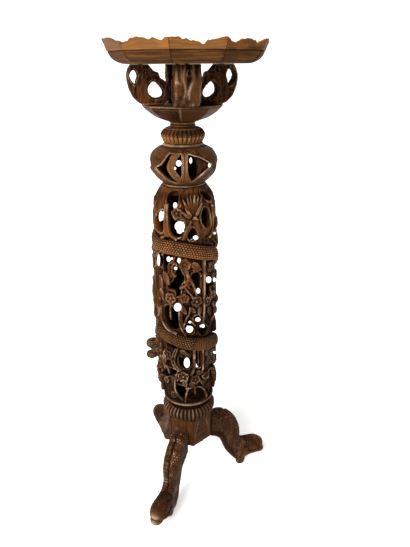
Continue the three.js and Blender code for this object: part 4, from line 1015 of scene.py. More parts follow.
def make_column():
    D = Drum(364, 242.0, 776.0, 1.14, 42.0, 78.7, 1.05, R0)
    nu, nz = D.nu, len(D.z)
    phi = (D.u / R0 / DEG - FRONT + 180) % 360 - 180     # photo side, -180 to 180
    Z = D.z[None]
    base = np.interp(D.z, *np.array([(243.3, 50.5), (249, 51), (254, 53), (257.5, 57.5), (260.5, 60.2), (264, 60.6), (267, 59.4), (273, 62.0), (285, 64.2), (297, 65.6), (318, 65.8), (342, 65.8),
                                     (390, 65), (430, 64.5), (465, 64.0), (500, 65.5), (533, 66), (600, 66), (640, 66.5), (674, 66.5), (692, 66.3), (709, 65.0),
                                     (726, 63.8), (743, 61.5), (752, 58.8), (760, 55.6), (767, 51.5), (774.7, 46.5)]).T)[None]
    H = np.zeros((nu, nz), f4)
    # bark-like vertical strokes at the top, broken ground below
    top_zone = smooth(668, 690, Z)
    H += top_zone * (1.3 * noise2(nu, nz, 60, 18, 1) + 0.9 * noise2(nu, nz, 110, 40, 2))
    low_zone = 1 - top_zone
    H += low_zone * (-6.6 + 2.0 * noise2(nu, nz, 34, 44, 3) + 1.2 * noise2(nu, nz, 80, 100, 4) + 0.6 * noise2(nu, nz, 150, 190, 5))
    left = (smooth(-128, -116, phi) * smooth(-58, -70, phi))[:, None]
    strip = left * smooth(408, 420, Z) * smooth(650, 640, Z)
    H = np.maximum(H, np.where(strip > 0.02, -6.6 + (11.0 + 3.0 * smooth(580, 548, Z)) * strip + 0.9 * noise2(nu, nz, 60, 30, 12), -9))
    strip = left * smooth(292, 304, Z) * smooth(436, 424, Z)
    H = np.maximum(H, np.where(strip > 0.02, -6.6 + (8.0 + 5.0 * smooth(356, 348, Z) * smooth(294, 308, Z)) * strip + 1.6 * noise2(nu, nz, 60, 80, 13), -9))
    right = (smooth(58, 74, phi) * smooth(124, 108, phi))[:, None]
    H = H + 2.2 * right * smooth(505, 520, Z) * smooth(715, 698, Z)
    fan = poly_sd(D.u[:, None], D.z[None], spline([(float(D.U(p)), z) for p, z in ((-7, 762), (3, 771), (30, 771), (43, 768), (38, 744), (25, 716), (14, 715), (-8, 728), (-3, 745))], 3, True))
    H -= 3.6 * smooth(2.0, -2.5, fan)
    H *= smooth(262, 272, Z) * smooth(774, 762, Z) * 0.94 + 0.06
    # openings
    Wd = np.full((nu, nz), 99, f4)
    shapes = [spline([(float(D.U(p)), z) for p, z in w], 3, True) for w in WINDOWS]
    rng = np.random.default_rng(7)
    for p, z, a, b in OVALS:
        t = np.arange(12) * math.pi / 6
        rr = 1 + rng.uniform(-0.13, 0.13, 12)
        sl = rng.uniform(-0.25, 0.25)
        shapes.append(spline(np.stack([float(D.U(p)) + a * DEG * R0 * rr * np.cos(t) + sl * b * np.sin(t), z + b * rr * np.sin(t)], 1), 3, True))
    for s in shapes:
        w = D.window(s[:, 0].min() - 9, s[:, 0].max() + 9, s[:, 1].min() - 9, s[:, 1].max() + 9)
        d = poly_sd(w[3][:, None], w[4][None], s)
        Wd[w[0], w[1]] = np.minimum(Wd[w[0], w[1]], d)
    rim_h = 1.5 * top_zone + 4.6 * low_zone * (0.62 + 0.5 * noise2(nu, nz, 22, 26, 9))
    H += rim_h * np.exp(-((Wd - 2.0) / 1.5) ** 2) * (Wd > -1) * smooth(258, 270, Z)
    H -= 0.7 * np.exp(-((Wd - 5.4) / 1.3) ** 2)
    # groove either side of the serpent
    for k in (0, 1, 2):
        zc, ok, p = coil_centre(phi, k)
        t = np.abs(D.z[None] - zc[:, None]) * 0.93
        H -= np.where(ok[:, None], 2.6 * np.exp(-((t - 16.4) / 2.0) ** 2), 0)
    # plain moulding at the foot
    H -= 0.8 * np.exp(-((Z - 267.5) / 1.2) ** 2)
    R = D.r[None, None]
    Rin = np.interp(D.z, [243, 259, 264, 735, 752, 759, 776], [37, 38, 48.5, 49.5, 42, 37, 37])[None, :, None].astype(f4)
    outer = (base + H)[..., None].astype(f4)
    wall = np.maximum(R - outer, Rin - R)
    cut = -(Wd[..., None] - 0.13 * np.clip(outer - R, 0, 30))
    wall = np.maximum(wall, cut)
    wall = np.maximum(wall, np.maximum(243.5 - D.z, D.z - 774.5)[None, :, None])
    D.F = wall.astype(f4)
    del wall, cut

    # raised lines and stems at the front, as in the photograph
    T = D.tube
    T([(-32.6, 744), (-34.6, 718), (-36.4, 698), (-35.0, 681), (-44, 674)], 2.3, 2.6, 64.6, 66.6)
    T([(-29.6, 744), (-30.3, 719), (-28.8, 699), (-24.3, 684), (-14, 675)], 2.1, 2.4, 64.6, 66.6)
    T([(-31, 742), (-32.2, 718), (-32.8, 698), (-31, 682)], 3.0, 4.6, 61.2, 63.6)
    T([(62.1, 736), (62.2, 705), (58.5, 682), (52, 672)], 2.0, 2.2, 65.8, 67.2)
    T([(-17.6, 593.5), (-23.2, 601.4), (-24.0, 610.1), (-21.4, 619.3), (-16.2, 620.7), (-14.6, 612)], 1.7, 1.4, 66.5, 64)
    T([(37.5, 628), (38.1, 593.5), (37.7, 565.3), (37.0, 548), (37, 520), (36, 492), (34, 476)], 2.5, 2.2, 67.6, 66.5, 0.12, 3)
    T([(2.8, 607), (7.2, 592.6), (12.4, 581.0), (18.6, 564.4), (22, 548)], 4.2, 1.8, 65.2, 66.0, 0.15, 4)
    T([(7.2, 592.6), (5.2, 581.5), (0.0, 572), (-8.2, 567.9)], 3.4, 2.6, 64.5, 65.5, 0.15, 5)
    T([(0.8, 569.0), (6.9, 557.7), (12.2, 549.3), (15, 541)], 1.9, 1.7, 67, 66.5)
    T([(-55.6, 512), (-55.1, 483.0), (-46.4, 468.8), (-36.0, 461.4), (-19.7, 455.3)], 1.7, 1.5, 66.5, 67)
    T([(-11.9, 509.6), (-11.3, 484.3), (-6.8, 467.4), (-0.3, 454.2)], 1.9, 1.7, 67, 67)
    T([(-9.2, 510), (-8.4, 486), (-4.8, 470)], 3.4, 4.2, 62.5, 62.5, 0.2, 6)
    T([(-2.8, 481.4), (0.5, 492), (6.7, 506.8), (9, 520)], 1.6, 1.8, 66.8, 66.5)
    T([(-31.1, 521), (-33.4, 503), (-33.0, 486.0)], 2.6, 1.6, 62, 60)
    T([(-23, 520), (-24.4, 497), (-24.0, 481.0)], 1.8, 1.2, 60, 57)
    T([(2.6, 481), (10.2, 484.4), (18.9, 475.0)], 1.9, 1.9, 58, 62)
    T([(15.9, 418), (15.1, 395.3), (15.5, 373.9), (13.0, 361.0), (8, 351)], 2.7, 2.4, 66.5, 66.5, 0.15, 7)
    T([(33.2, 414), (33.8, 384.3), (33.0, 362), (30, 350)], 2.3, 2.1, 67, 66.5, 0.12, 8)
    T([(25.2, 412), (25.6, 390), (25.4, 364)], 2.0, 1.6, 60, 60)
    T([(-17.3, 418.2), (-22.9, 398.4), (-24.2, 383.4), (-19.1, 370.5), (-11.0, 363.1)], 1.8, 1.7, 67.2, 66.8)
    T([(-21.4, 417.1), (-29.0, 396.2), (-29.9, 380.2), (-24.4, 367.9), (-15.1, 360.0)], 1.7, 1.7, 67.2, 66.6)
    for a, b in (((-23.2, 398.8), (-28.8, 396.6)), ((-24.2, 386), (-29.8, 384.4)), ((-22, 376), (-27.6, 373.6))):
        T([a, b], 1.6, 1.6, 66.8, 66.8)
    T([(-45.7, 380.6), (-49.5, 366.2), (-43.0, 359.3), (-37.9, 346.8)], 2.0, 1.4, 66.8, 66.2)
    T([(-68.6, 380.4), (-56.8, 368.4), (-51.0, 354.0)], 2.1, 1.5, 67, 66)
    T([(-24.0, 341.5), (-26.4, 318.7), (-25.9, 303.0), (-18.4, 287.5), (-10, 279)], 1.8, 1.7, 66, 62.0)
    T([(2.2, 314.5), (-1.4, 301.3), (-4.0, 284.0), (-5, 272)], 2.3, 2.2, 65.2, 60.5, 0.15, 9)
    T([(-2, 314), (2.2, 313.5), (16.2, 316.3), (31.2, 309.0), (42.8, 289.1), (48, 270)], 1.8, 1.8, 66, 60.5)
    T([(16.2, 316), (16.2, 304.0), (16.4, 295)], 2.9, 1.9, 64.5, 61.5)
    # a tuft of long leaves over its knot
    for a, b, wdt, r in (((17.9, 719.5), (6.5, 764.5), 3.3, 64.0), ((17.9, 720.9), (13.4, 765.2), 3.1, 64.9), ((18.8, 721), (22.0, 766.4), 3.5, 65.2), ((20.1, 720.6), (30.2, 762.1), 3.2, 64.6),
                         ((15.7, 720.1), (2.6, 741.6), 3.2, 65.0), ((14.0, 717.2), (-4.7, 734.5), 3.0, 65.4), ((21.8, 719.4), (36.0, 748.2), 3.4, 65.2), ((22.7, 720.3), (40.5, 762.9), 3.0, 63.2), ((14.9, 724), (-1.1, 757.3), 3.0, 63.4)):
        ztop = b[1]
        rr = r - max(0, ztop - 744) * 0.16
        D.leaf(a, b, wdt, rr, 2.3, 6.0, 0.0, 0.4, 1.5)
    D.ball(20.5, 718.6, 4.4, 3.6, 4.4, 65.6)
    T([(16, 716.5), (25.6, 716.0)], 1.0, 1.0, 69.2, 68.8)
    D.leaf((23.4, 716.5), (32.0, 686.4), 3.7, 65.8, 2.6, 6.0, 0.0, -3.0, 1.0)
    T([(13.4, 712.2), (8.3, 700.4), (2.5, 689.0), (-1.5, 676.5)], 2.6, 2.4, 67.2, 66.6)
    for q in range(9):
        t = q / 8
        T([(9.6 - 12 * t, 707.4 - 27 * t), (14.4 - 12 * t, 703.2 - 27 * t)], 0.95, 0.95, 68.9, 68.2)
    # flowers of the front
    fl = D.flower
    fl(-11.8, 728.6, 11.6, 63.0, 2.6, 8.0, 5, 0.5)
    fl(0.5, 621.1, 12.4, 66.0, 3.2, 9.0, 6, 0.2)
    fl(-28.6, 540.8, 12.8, 65.5, 3.4, 9.0, 5, 1.1)
    fl(-1.1, 544.0, 10.2, 66.0, 3.2, 9.0, 5, 0.4)
    fl(21.7, 534.8, 12.2, 66.0, 3.2, 9.0, 5, 0.9)
    fl(44.6, 527.6, 10.6, 65.5, 3.0, 9.0, 5, 0.1)
    fl(-41.9, 395.6, 13.4, 65.0, 3.2, 9.0, 5, 0.7)
    fl(-7.0, 346.7, 12.8, 65.6, 3.4, 9.0, 5, 0.3)
    fl(16.9, 336.9, 11.4, 65.4, 3.2, 9.0, 5, 1.0)
    fl(40.3, 339.6, 10.2, 65.2, 3.0, 9.0, 5, 0.6)
    fl(24.5, 353.5, 5.6, 66.0, 2.0, 7.0, 5, 0.0)
    fl(-49.0, 323.1, 8.0, 64.0, 2.6, 8.0, 5, 0.2)
    fl(-31.4, 288.0, 8.4, 60.8, 2.6, 8.0, 5, 0.8)
    # leaves of the front
    lf = D.leaf
    lf((-0.4, 585.9), (8.8, 564.6), 4.2, 64.6, 2.2, 7)
    lf((2.7, 584.9), (11.6, 571.9), 3.6, 63.8, 2.0, 6)
    lf((-46.0, 596.9), (-32.0, 568.6), 8.0, 63.6, 2.4, 8)
    lf((12.2, 622.1), (33.2, 604.9), 7.5, 64.6, 2.2, 8)
    lf((14.8, 606.3), (35.2, 607.4), 4.5, 65.4, 2.2, 7)
    lf((-58, 586), (-48, 556), 6.5, 65.0, 2.6, 9)
    lf((-56, 556), (-46, 528), 5.5, 65.2, 2.4, 9)
    lf((-10, 527), (2, 505), 6.0, 65.0, 2.4, 8)
    lf((8, 520), (20, 508), 5.0, 65.2, 2.4, 8)
    lf((30, 520), (26, 500), 5.0, 65.0, 2.4, 8)
    lf((50, 512), (56, 488), 5.5, 64.5, 2.4, 8)
    lf((-18, 352), (-22, 330), 6.5, 64.5, 2.4, 8)
    lf((-6, 335), (-2, 316), 6.0, 64.2, 2.2, 8)
    lf((6, 328), (14, 316), 5.5, 64.2, 2.2, 8)
    lf((30, 330), (38, 314), 5.0, 63.8, 2.2, 8)
    lf((-34, 340), (-24, 322), 5.5, 64.2, 2.2, 8)
    lf((-12, 414), (4, 404), 5.0, 65.2, 2.2, 8)
    lf((-3, 407), (10, 398), 4.2, 65.8, 2.2, 7)
    lf((-62, 384), (-54, 362), 6.0, 65.0, 2.4, 8)
    # dark tufts on the right
    nd = D.needles
    nd(47, 398, 12.0, 64.5, 11, 2.6, 7)
    nd(62, 388, 12.5, 64.5, 12, 2.6, 7)
    nd(50, 376, 11.5, 64.5, 11, 2.6, 7)
    nd(66, 366, 11.0, 64.0, 11, 2.6, 7)
    nd(56, 604, 11.0, 64.5, 12, 2.4, 7)
    nd(72, 612, 10.0, 64.5, 12, 2.4, 7)
    nd(60, 536, 9.0, 64.5, 11, 2.4, 7)
    # a sprig and lobes that stand proud on the left
    lf((-72, 424), (-80, 398), 7.5, 68.0, 4.0, 9, 0.6)
    lf((-84, 414), (-92, 386), 8.0, 68.5, 4.5, 10, 0.6)
    lf((-74, 398), (-80, 368), 7.0, 67.5, 4.0, 10, 0.6)
    lf((-66, 410), (-72, 380), 6.0, 66.0, 3.5, 9, 0.6)
    D.ball(-79, 412, 8, 8, 7, 67.5, 0.8)
    D.ball(-76, 388, 7, 7, 7, 68.0, 0.8)
    D.ball(-72, 372, 6, 6, 6, 66.0, 0.8)
    D.ball(74, 492, 5, 14, 5, 66.0, 0.6)
    D.ball(66, 536, 7, 8, 6, 66.0, 0.8)
    D.ball(80, 518, 6, 10, 5, 67.5, 0.8)
    D.ball(82, 655, 6, 16, 4, 67.5, 0.6)
    D.ball(56, 560, 4, 7, 5, 65.0, 0.8)

    # sides and back: the same stems, flowers, leaves and tufts, where the serpent leaves room
    rng = np.random.default_rng(23)

    def clear(p, z, gap):
        for k in (0, 1, 2):
            zc, ok, _ = coil_centre(((p + 180) % 360) - 180.0, k)
            if ok and abs(z - float(zc)) < gap:
                return False
        return 272 + gap * 0.4 < z < 756 - gap

    spots = []
    for row, z in enumerate(np.arange(284, 690, 19.0)):
        for p in np.arange(72 + 7 * (row % 2), 292, 15.0):
            pp, zz = p + rng.uniform(-4, 4), z + rng.uniform(-5, 5)
            if clear(pp, zz, 20):
                spots.append((pp, zz))
    last = None
    for n, (p, z) in enumerate(spots):
        kind = rng.integers(0, 10)
        ang = rng.uniform(0, 2 * math.pi)
        dp, dz_ = 9 * math.cos(ang), 13 * math.sin(ang)
        if kind <= 3:
            if clear(p, z, 24):
                fl(p, z, rng.uniform(8.5, 12.5), rng.uniform(64.2, 65.8), 3.0, 9, 5, rng.uniform(0, 1.2))
        elif kind <= 7:
            lf((p - dp, z - dz_), (p + dp, z + dz_), rng.uniform(4.0, 6.5), rng.uniform(63.4, 65.2), 2.4, 8)
        elif kind == 8:
            if clear(p, z, 24):
                nd(p, z, rng.uniform(8, 11), 64.0, 11, 2.4, 7, rng.uniform(0, 3))
        q = spots[(n + int(rng.integers(5, 16))) % len(spots)]
        if math.hypot((q[0] - p) * 1.15, q[1] - z) < 46 and clear((p + q[0]) / 2, (z + q[1]) / 2, 18):
            mp, mz = (p + q[0]) / 2 + rng.uniform(-4, 4), (z + q[1]) / 2 + rng.uniform(-5, 5)
            T([(p, z), (mp, mz), q], rng.uniform(2.0, 2.8), rng.uniform(1.5, 2.1), 63.6, 64.6, 0.15, n)
    for p, z in ((112, 744), (145, 742), (180, 742), (218, 742), (253, 742), (285, 744)):
        for s in (-9, -3, 3, 9):
            D.leaf((p, z - 30), (p + s * 1.4, z + 14 - abs(s)), 3.0, 63.2 - abs(s) * 0.05, 2.2, 6, 0.0, 0.4, 1.3)
        fl(p, z - 34, 9.5, 64.6, 2.8, 8, 5, p * 0.1)

    # the serpent's core
    for k in (0, 1, 2):
        zc, ok, p = coil_centre(phi, k)
        if not ok.any():
            continue
        cols = np.nonzero(ok)[0]
        slope = (np.interp(p[cols] + 4, COIL_P, COIL_Z) - np.interp(p[cols] - 4, COIL_P, COIL_Z)) / (8 * DEG * R0)
        t = (D.z[None] - zc[cols][:, None]) / np.sqrt(1 + slope ** 2)[:, None]
        tail = smooth(-168, -128, p[cols])
        hb = (3 + 10.0 * tail)[:, None]
        top = 58 + (2 + 8.0 * tail)[:, None] * np.sqrt(np.clip(1 - np.clip(np.abs(t) / hb, 0, 1) ** 2.6, 0, 1))
        R = D.r[None, None]
        G = np.maximum(np.maximum((np.abs(t) - hb)[..., None], R - top[..., None]), 49.5 - R)
        D.F[cols] = np.minimum(D.F[cols], G.astype(f4))
    # its head, on the left, over the end of the coil
    T([(236, 352), (250, 350), (262, 356), (269, 372), (270, 392)], 11.0, 10.5, 61.0, 63.5)
    D.ball(-91, 398, 14, 17, 11.0, 65.0, 0.5)
    D.ball(-98, 404, 4, 3.5, 3.5, 74.0)
    D.ball(-84, 406, 4, 3.5, 3.5, 74.0)
    # a piece is broken out of the right edge
    gone = np.sqrt((((phi - 90) * DEG * 66) / 42)[:, None, None] ** 2 + ((D.z[None, :, None] - 473) / 19) ** 2 + ((D.r[None, None] - 78) / 17.5) ** 2)
    D.F = np.maximum(D.F, ((1 - gone) * 12).astype(f4))
    see_through(D, R0, FRONT * DEG, SIGHT, STAND, 50.0, 66.0, D.z)
    shut(D.F)

    P, Q = nets(D.F, True)
    good, Q = keep_large(P, Q)
    P = P[good]
    cav, edge = shade(D.F, P, (2, 4), True)
    r = D.r[0] + P[:, 2] * D.dr
    ph = (P[:, 0] % D.nu) * 2 * math.pi / D.nu
    z = D.z[0] + P[:, 1] * D.dz
    # painted shade: surfaces set back inside the wall, the windows' sides and the inner wall, darkened towards black
    depth = smooth(62.5, 53, r) * smooth(262, 270, z) * smooth(772, 752, z)
    cav = np.clip(cav + 0.95 * depth, 0, 1)
    spots_ = noise3(ph * R0 / 8, z / 10, r / 7, 15)
    edge = np.clip(1.25 * edge, 0, 1) * smooth(58, 64, r) * (0.22 + 0.78 * smooth(-0.3, 0.35, spots_))
    # painted highlight on the lip of the foot moulding
    lip_ = np.exp(-((z - 262.2) / 1.9) ** 2) * smooth(56, 59, r)
    edge = np.clip(edge + 0.8 * lip_, 0, 1)
    # painted shadow under that lip; also darker low down and in random spots
    cav = np.clip(cav + 0.14 * smooth(400, 320, z) + 0.10 * smooth(0.1, 0.6, -spots_) + 0.9 * smooth(258.5, 256.5, z) - 0.4 * lip_, 0, 1)
    tone = np.full(len(P), 0.06) + 0.32 * smooth(668, 690, z) * smooth(63, 65.5, r) + 0.22 * smooth(0.15, 0.7, noise3(ph * R0 / 16, z / 22, r / 20, 16)) * smooth(61, 65, r)
    V = polar(ph, r, z)
    return V, Q, {"cav": cav, "edge": edge, "tone": tone}, z


def normals_of(V, Q):
    n = np.cross(V[Q[:, 2]] - V[Q[:, 0]], V[Q[:, 3]] - V[Q[:, 1]])
    out = np.zeros_like(V)
    for c in range(4):
        for a in range(3):
            out[:, a] += np.bincount(Q[:, c], n[:, a], len(V))
    return out / np.maximum(np.linalg.norm(out, axis=1, keepdims=True), 1e-12)


def split_levels(V, Q, att, z, levels, name, material, node):
    """parts a tall carving into stacked pieces, each closed, that share their cut"""
    vn = normals_of(V, Q)
    top = z[Q].max(1)
    bounds = [-1e9, *levels, 1e9]
    made = []
    for n, (a, b) in enumerate(zip(bounds[:-1], bounds[1:])):
        q = Q[(top > a) & (top <= b)]
        used = np.unique(q)
        new = np.full(len(V), -1)
        new[used] = np.arange(len(used))
        me = make_mesh(f"{name}_{n + 1}", V[used], new[q], {k: v[used] for k, v in att.items()})
        bm = bmesh.new()
        bm.from_mesh(me)
        open_edges = [e for e in bm.edges if e.is_boundary]
        count = len(bm.faces)
        middle = 0.5 * (z[used].min() + z[used].max()) * MM
        lower = [e for e in open_edges if e.verts[0].co.z < middle]
        upper = [e for e in open_edges if e.verts[0].co.z >= middle]
        for level in (lower, upper):
            if not level:
                continue
            got = bmesh.ops.triangle_fill(bm, edges=level, use_beauty=False, use_dissolve=False)
            for g in got["geom"]:
                if isinstance(g, bmesh.types.BMFace):
                    g.smooth = False
        bm.to_mesh(me)
        bm.free()
        cn = np.zeros((len(me.vertices), 3), f4)
        cn[:len(used)] = vn[used]
        try:
            me.normals_split_custom_set_from_vertices(cn)
        except RuntimeError:
            pass
        made.append(piece(f"{name}_{n + 1}", me, material, node if n == 0 else None))
        print(f"{name}_{n + 1}: {len(q)} faces, cap {len(me.polygons) - count}")
    return made


V, Q, A, zz = make_column()
split_levels(V, Q, A, zz, [352.0, 470.0, 570.0, 672.0], "column_carved", mat_carved, "column")


def serpent():
    """the serpent's scaled body: a round-backed band swept along its path, wound down round the column"""
    ps = np.arange(COIL_P[0], COIL_P[-1] - 14, 0.25)
    path = spline(COIL, 8)
    zs = np.interp(ps, path[:, 0], path[:, 1])
    zs = np.convolve(np.pad(zs, 24, mode="edge"), np.ones(49) / 49, "valid")
    ln = np.concatenate([[0], np.cumsum(np.hypot(np.diff(ps) * DEG * R0, np.diff(zs)))])
    S = np.arange(0, ln[-1], 0.8)
    P_, Z_ = np.interp(S, ln, ps), np.interp(S, ln, zs)
    slope = np.gradient(Z_, P_ * DEG * R0)
    slope = np.convolve(np.pad(slope, 5, mode="edge"), np.ones(11) / 11, "valid")
    ang = np.arctan(slope)
    tail = smooth(-168, -120, P_)
    hb = 3.5 + 10.9 * tail
    rise = 2.0 + 9.2 * tail
    th = np.linspace(-math.pi / 2, math.pi / 2, 62)
    tn = np.sign(np.sin(th)) * np.abs(np.sin(th)) ** 0.92
    up = np.abs(np.cos(th)) ** 0.62
    nt, nu_ = np.sin(th), np.cos(th) + 0.15
    nl = np.hypot(nt, nu_)
    nt, nu_ = nt / nl, nu_ / nl
    m_in = 10
    tin = np.linspace(1, -1, m_in + 2)[1:-1]
    T = np.concatenate([hb[:, None] * tn[None], hb[:, None] * tin[None]], 1)
    Rr = np.concatenate([60.2 + rise[:, None] * up[None], np.full((len(S), m_in), 56.5)], 1)
    NT = np.broadcast_to(np.concatenate([nt, np.zeros(m_in)]), T.shape)
    NR = np.broadcast_to(np.concatenate([nu_, np.zeros(m_in)]), T.shape)
    arc = np.cumsum(np.concatenate([[0], np.hypot(np.diff(14.4 * tn), np.diff(9.2 * up))]))
    arc = arc - arc[-1] / 2
    A = np.broadcast_to(np.concatenate([arc, np.zeros(m_in)]), T.shape)
    SS = np.broadcast_to(S[:, None], T.shape)
    PP = np.broadcast_to(P_[:, None], T.shape)
    live = np.broadcast_to(np.concatenate([np.ones(62), np.zeros(m_in)]), T.shape)
    # small overlapping scales in staggered rows, a little uneven as carved by hand
    wob = 0.5 * noise3(SS / 14, A / 7, SS * 0, 41)
    lu, lt = 5.6, 4.4
    row = np.floor((A + wob) / lt)
    x = (SS + wob) / lu + 0.5 * (row % 2)
    fx, fy = (x - np.floor(x) - 0.5) * lu, ((A + wob) / lt - row - 0.5) * lt
    d = np.sqrt((fx / 2.75) ** 2 + (fy / 2.2) ** 2)
    tip = hash3(np.floor(x).astype(np.int64), row.astype(np.int64), row.astype(np.int64) * 0, 42)
    scale = np.clip(1.15 - d, 0, 1) * (0.8 + 0.25 * tip) + 0.25 * fx / lu
    ribs = np.abs(np.sin(math.pi * (SS + 0.15 * A) / 4.4)) ** 0.8
    use_r = smooth(372, 384, PP) * smooth(476, 455, PP) * smooth(-12, -8, A)
    cx, cy = ((SS - 2) % 14.0) - 7, A - 2.0
    ring = np.hypot(cx, cy)
    curl = 0.5 + 0.5 * np.cos(ring * 1.35 - np.arctan2(cy, cx))
    use_c = smooth(292, 300, PP) * smooth(338, 326, PP)
    plain = smooth(-8.5, -11.5, A)
    belly = 0.45 * np.abs(np.sin(math.pi * SS / 7.5)) ** 0.5
    relief = 1.6 * scale * (1 - use_r) * (1 - use_c) * (1 - 0.75 * plain) + 1.1 * ribs * use_r + 1.0 * curl * use_c + belly * plain
    relief = relief * live * np.broadcast_to(tail[:, None], T.shape) ** 0.5
    relief = relief + 0.3 * noise3(SS / 9, A / 5, SS * 0, 43) * live
    # painted shade in the gaps between the scales, ribs and curls
    gap = (smooth(0.66, 0.92, d) * (1 - 0.75 * plain)) * (1 - use_r) * (1 - use_c) + (1 - ribs) * 0.8 * use_r + (1 - curl) * 0.75 * use_c
    # painted highlight on the scale crowns and the crests of the ribs and curls
    light = smooth(0.75, 0.25, d) * (0.55 + 0.45 * tip) * (1 - use_r) * (1 - use_c) * (1 - plain) + smooth(0.8, 1, ribs) * 0.5 * use_r + smooth(0.8, 1, curl) * 0.5 * use_c
    # painted shade along the band's edges
    edge_line = smooth(17.0, 19.5, np.abs(A))
    below = smooth(560, 520, Z_)[:, None]                   # the lower turns are darker
    cav = np.clip(0.92 * gap * live + 0.8 * edge_line + 0.22 * smooth(2, 14, A) * live + 0.20 * below * live * (1 - plain), 0, 1)
    edge = np.clip(0.95 * light * smooth(17, 11, np.abs(A)) * smooth(-10, 2, A + 6), 0, 1) * live * (1 - 0.35 * below)
    tone = (0.34 + 0.38 * smooth(-2, -9, A)) * live * (1 - 0.35 * below)
    T2 = T + relief * NT
    R2 = Rr + relief * NR - 0.5 * live
    ca, sa = np.cos(ang)[:, None], np.sin(ang)[:, None]
    ph = (PP + FRONT) * DEG - T2 * sa / R0
    V = polar(ph, R2, Z_[:, None] + T2 * ca)
    n, m = T.shape
    i, j = np.meshgrid(np.arange(n - 1), np.arange(m), indexing="ij")
    j2 = (j + 1) % m
    Q = np.stack([i * m + j, (i + 1) * m + j, (i + 1) * m + j2, i * m + j2], -1).reshape(-1, 4)
    return capped("serpent_scaled", V.reshape(-1, 3), Q, {"cav": cav.ravel(), "edge": edge.ravel(), "tone": tone.ravel()}, n)


piece("serpent_scaled", serpent(), mat_serpent, None)


def lobes():
    """a cluster of rounded leaves that stands out on the left, over the serpent's head"""
    step = 0.75
    t, z, r = np.arange(-24, 24.1, step), np.arange(352, 420.1, step), np.arange(49, 100.0, step)
    T_, Z_, R_ = t[:, None, None], z[None, :, None], r[None, None, :]
    G = np.full((len(t), len(z), len(r)), 9, f4)
    own = np.zeros(G.shape, f4)
    for n, (a, b, c, da, db, dc, tilt) in enumerate(((0, 396, 81.5, 14, 12, 16, 0.5), (-8, 382, 77, 11, 11, 12.5, -0.4), (4, 368, 84.5, 12, 9.5, 13.5, 0.3), (9, 388, 74, 11, 11, 11, 0.9), (0, 386, 66, 19, 25, 15, 0.0))):
        q = (np.sqrt(((T_ - a) / da) ** 2 + ((Z_ - b) / db) ** 2 + ((R_ - c) / dc) ** 2) - 1) * 11
        along = (T_ - a) * math.sin(tilt) + (Z_ - b) * math.cos(tilt)
        across = (T_ - a) * math.cos(tilt) - (Z_ - b) * math.sin(tilt)
        q = q + (1.2 * np.exp(-(across / 1.1) ** 2) - 0.55 * np.cos((along - 0.8 * np.abs(across)) * 1.5)) * (1 if n < 4 else 0)
        own = np.where(q < G, n, own)
        k = 1.6
        m = np.clip(0.5 + 0.5 * (G - q) / k, 0, 1)
        G = G * (1 - m) + q * m - k * m * (1 - m)
    G = G + 0.5 * noise3(T_ / 3.4, Z_ / 3.4, R_ / 3.4, 17) + 0.02 * own * 0
    G = np.maximum(G, R_ - 97.6)
    F = shut(G.astype(f4), False)
    P, Q = nets(F)
    good, Q = keep_large(P, Q)
    P = P[good]
    cav, edge = shade(F, P, (2, 5))
    V, tt, zc, rc = rotate_out(P, step, (t[0], z[0], r[0]), (-91 + FRONT) * DEG)
    # painted shade all over the lobes, deeper towards the column
    cav = np.clip(0.95 * cav + 0.35 + 0.5 * smooth(70, 62, rc), 0, 1)
    return make_mesh("serpent_head_lobes", V, Q, {"cav": cav, "edge": np.clip(0.9 * edge, 0, 1), "tone": 0.05 + 0 * rc})


def still(phi, r, z, nr, nz):
    n = 0.2 * noise3(r * np.sin(phi) / 4, r * np.cos(phi) / 4, z / 4, 61)
    # painted shade, even over these inner floors
    return n, np.full(phi.shape, 0.55), 0 * phi, 0 * phi


for name, prof in (("column_crown_floor", [(15.25, 759.0), (44, 759.0), (44, 774.4), (15.25, 774.4)]), ("column_foot_floor", [(15.25, 243.6), (50, 243.6), (50, 257.5), (15.25, 257.5)]),
                   ("bulb_crown", [(11.2, 847.5), (39.5, 847.5), (39.5, 853), (38.2, 857.1), (11.2, 857.1)]), ("bulb_foot", [(15.25, 775.2), (42.5, 775.2), (42.5, 784.5), (15.25, 784.5)])):
    V, Q, A = lathe(prof, 120, 2.5, still)
    piece(name, make_mesh(name, V, Q, A), mat_carved, None)


# --------------------------------------------------------------------- the bulb
BULB = [(775.0, 42.6), (776.2, 43.9), (778.4, 44.0), (779.6, 42.9), (781.5, 45.6), (785.5, 50.4), (791, 55.9), (797, 60.5), (803.5, 64.4), (810, 67.1), (816, 68.4), (821.5, 68.8), (827, 68.1),
        (832.5, 66.3), (837, 64.0), (841, 61.0), (845, 57.0), (848.5, 52.4), (850.6, 47.0), (851.8, 42.6), (853.2, 41.6), (855.2, 40.8), (857.2, 38.4)]
LENS = [(-47.5, 815.0), (-40.4, 820.0), (-35.2, 824.3), (-30.2, 831.3), (-26.0, 839.6), (-23.5, 842.8), (-12, 842.6), (0, 842.4), (12, 841.8), (19, 839.2), (29.9, 836.0), (38.0, 831.1), (43.8, 827.2),
        (53.5, 819.3), (42.6, 811.3), (33.0, 802.7), (26.8, 795.9), (19.6, 790.2), (8.3, 788.1), (-2.9, 787.1), (-18.3, 788.2), (-30.6, 794.2), (-39.0, 803.4)]
CRESCENT = [(-17.5, 845), (-22.7, 833.0), (-26.9, 818.9), (-24.1, 806.6), (-17.1, 793.1), (-10, 784), (4, 784), (-2.4, 798.0), (-7.4, 804.5), (-10.9, 810.7), (-12.3, 820.1), (-10.5, 831.9), (-6, 838.5), (2, 846)]
MIDDLE = [(-3.5, 850), (-1.2, 841.7), (-0.9, 829.4), (-1.3, 805.8), (-6.0, 795.0), (-14.6, 783.0), (22, 783), (18.1, 789.8), (12.0, 800.3), (9.2, 815.6), (9.4, 829.3), (11.0, 840.7), (14, 850)]
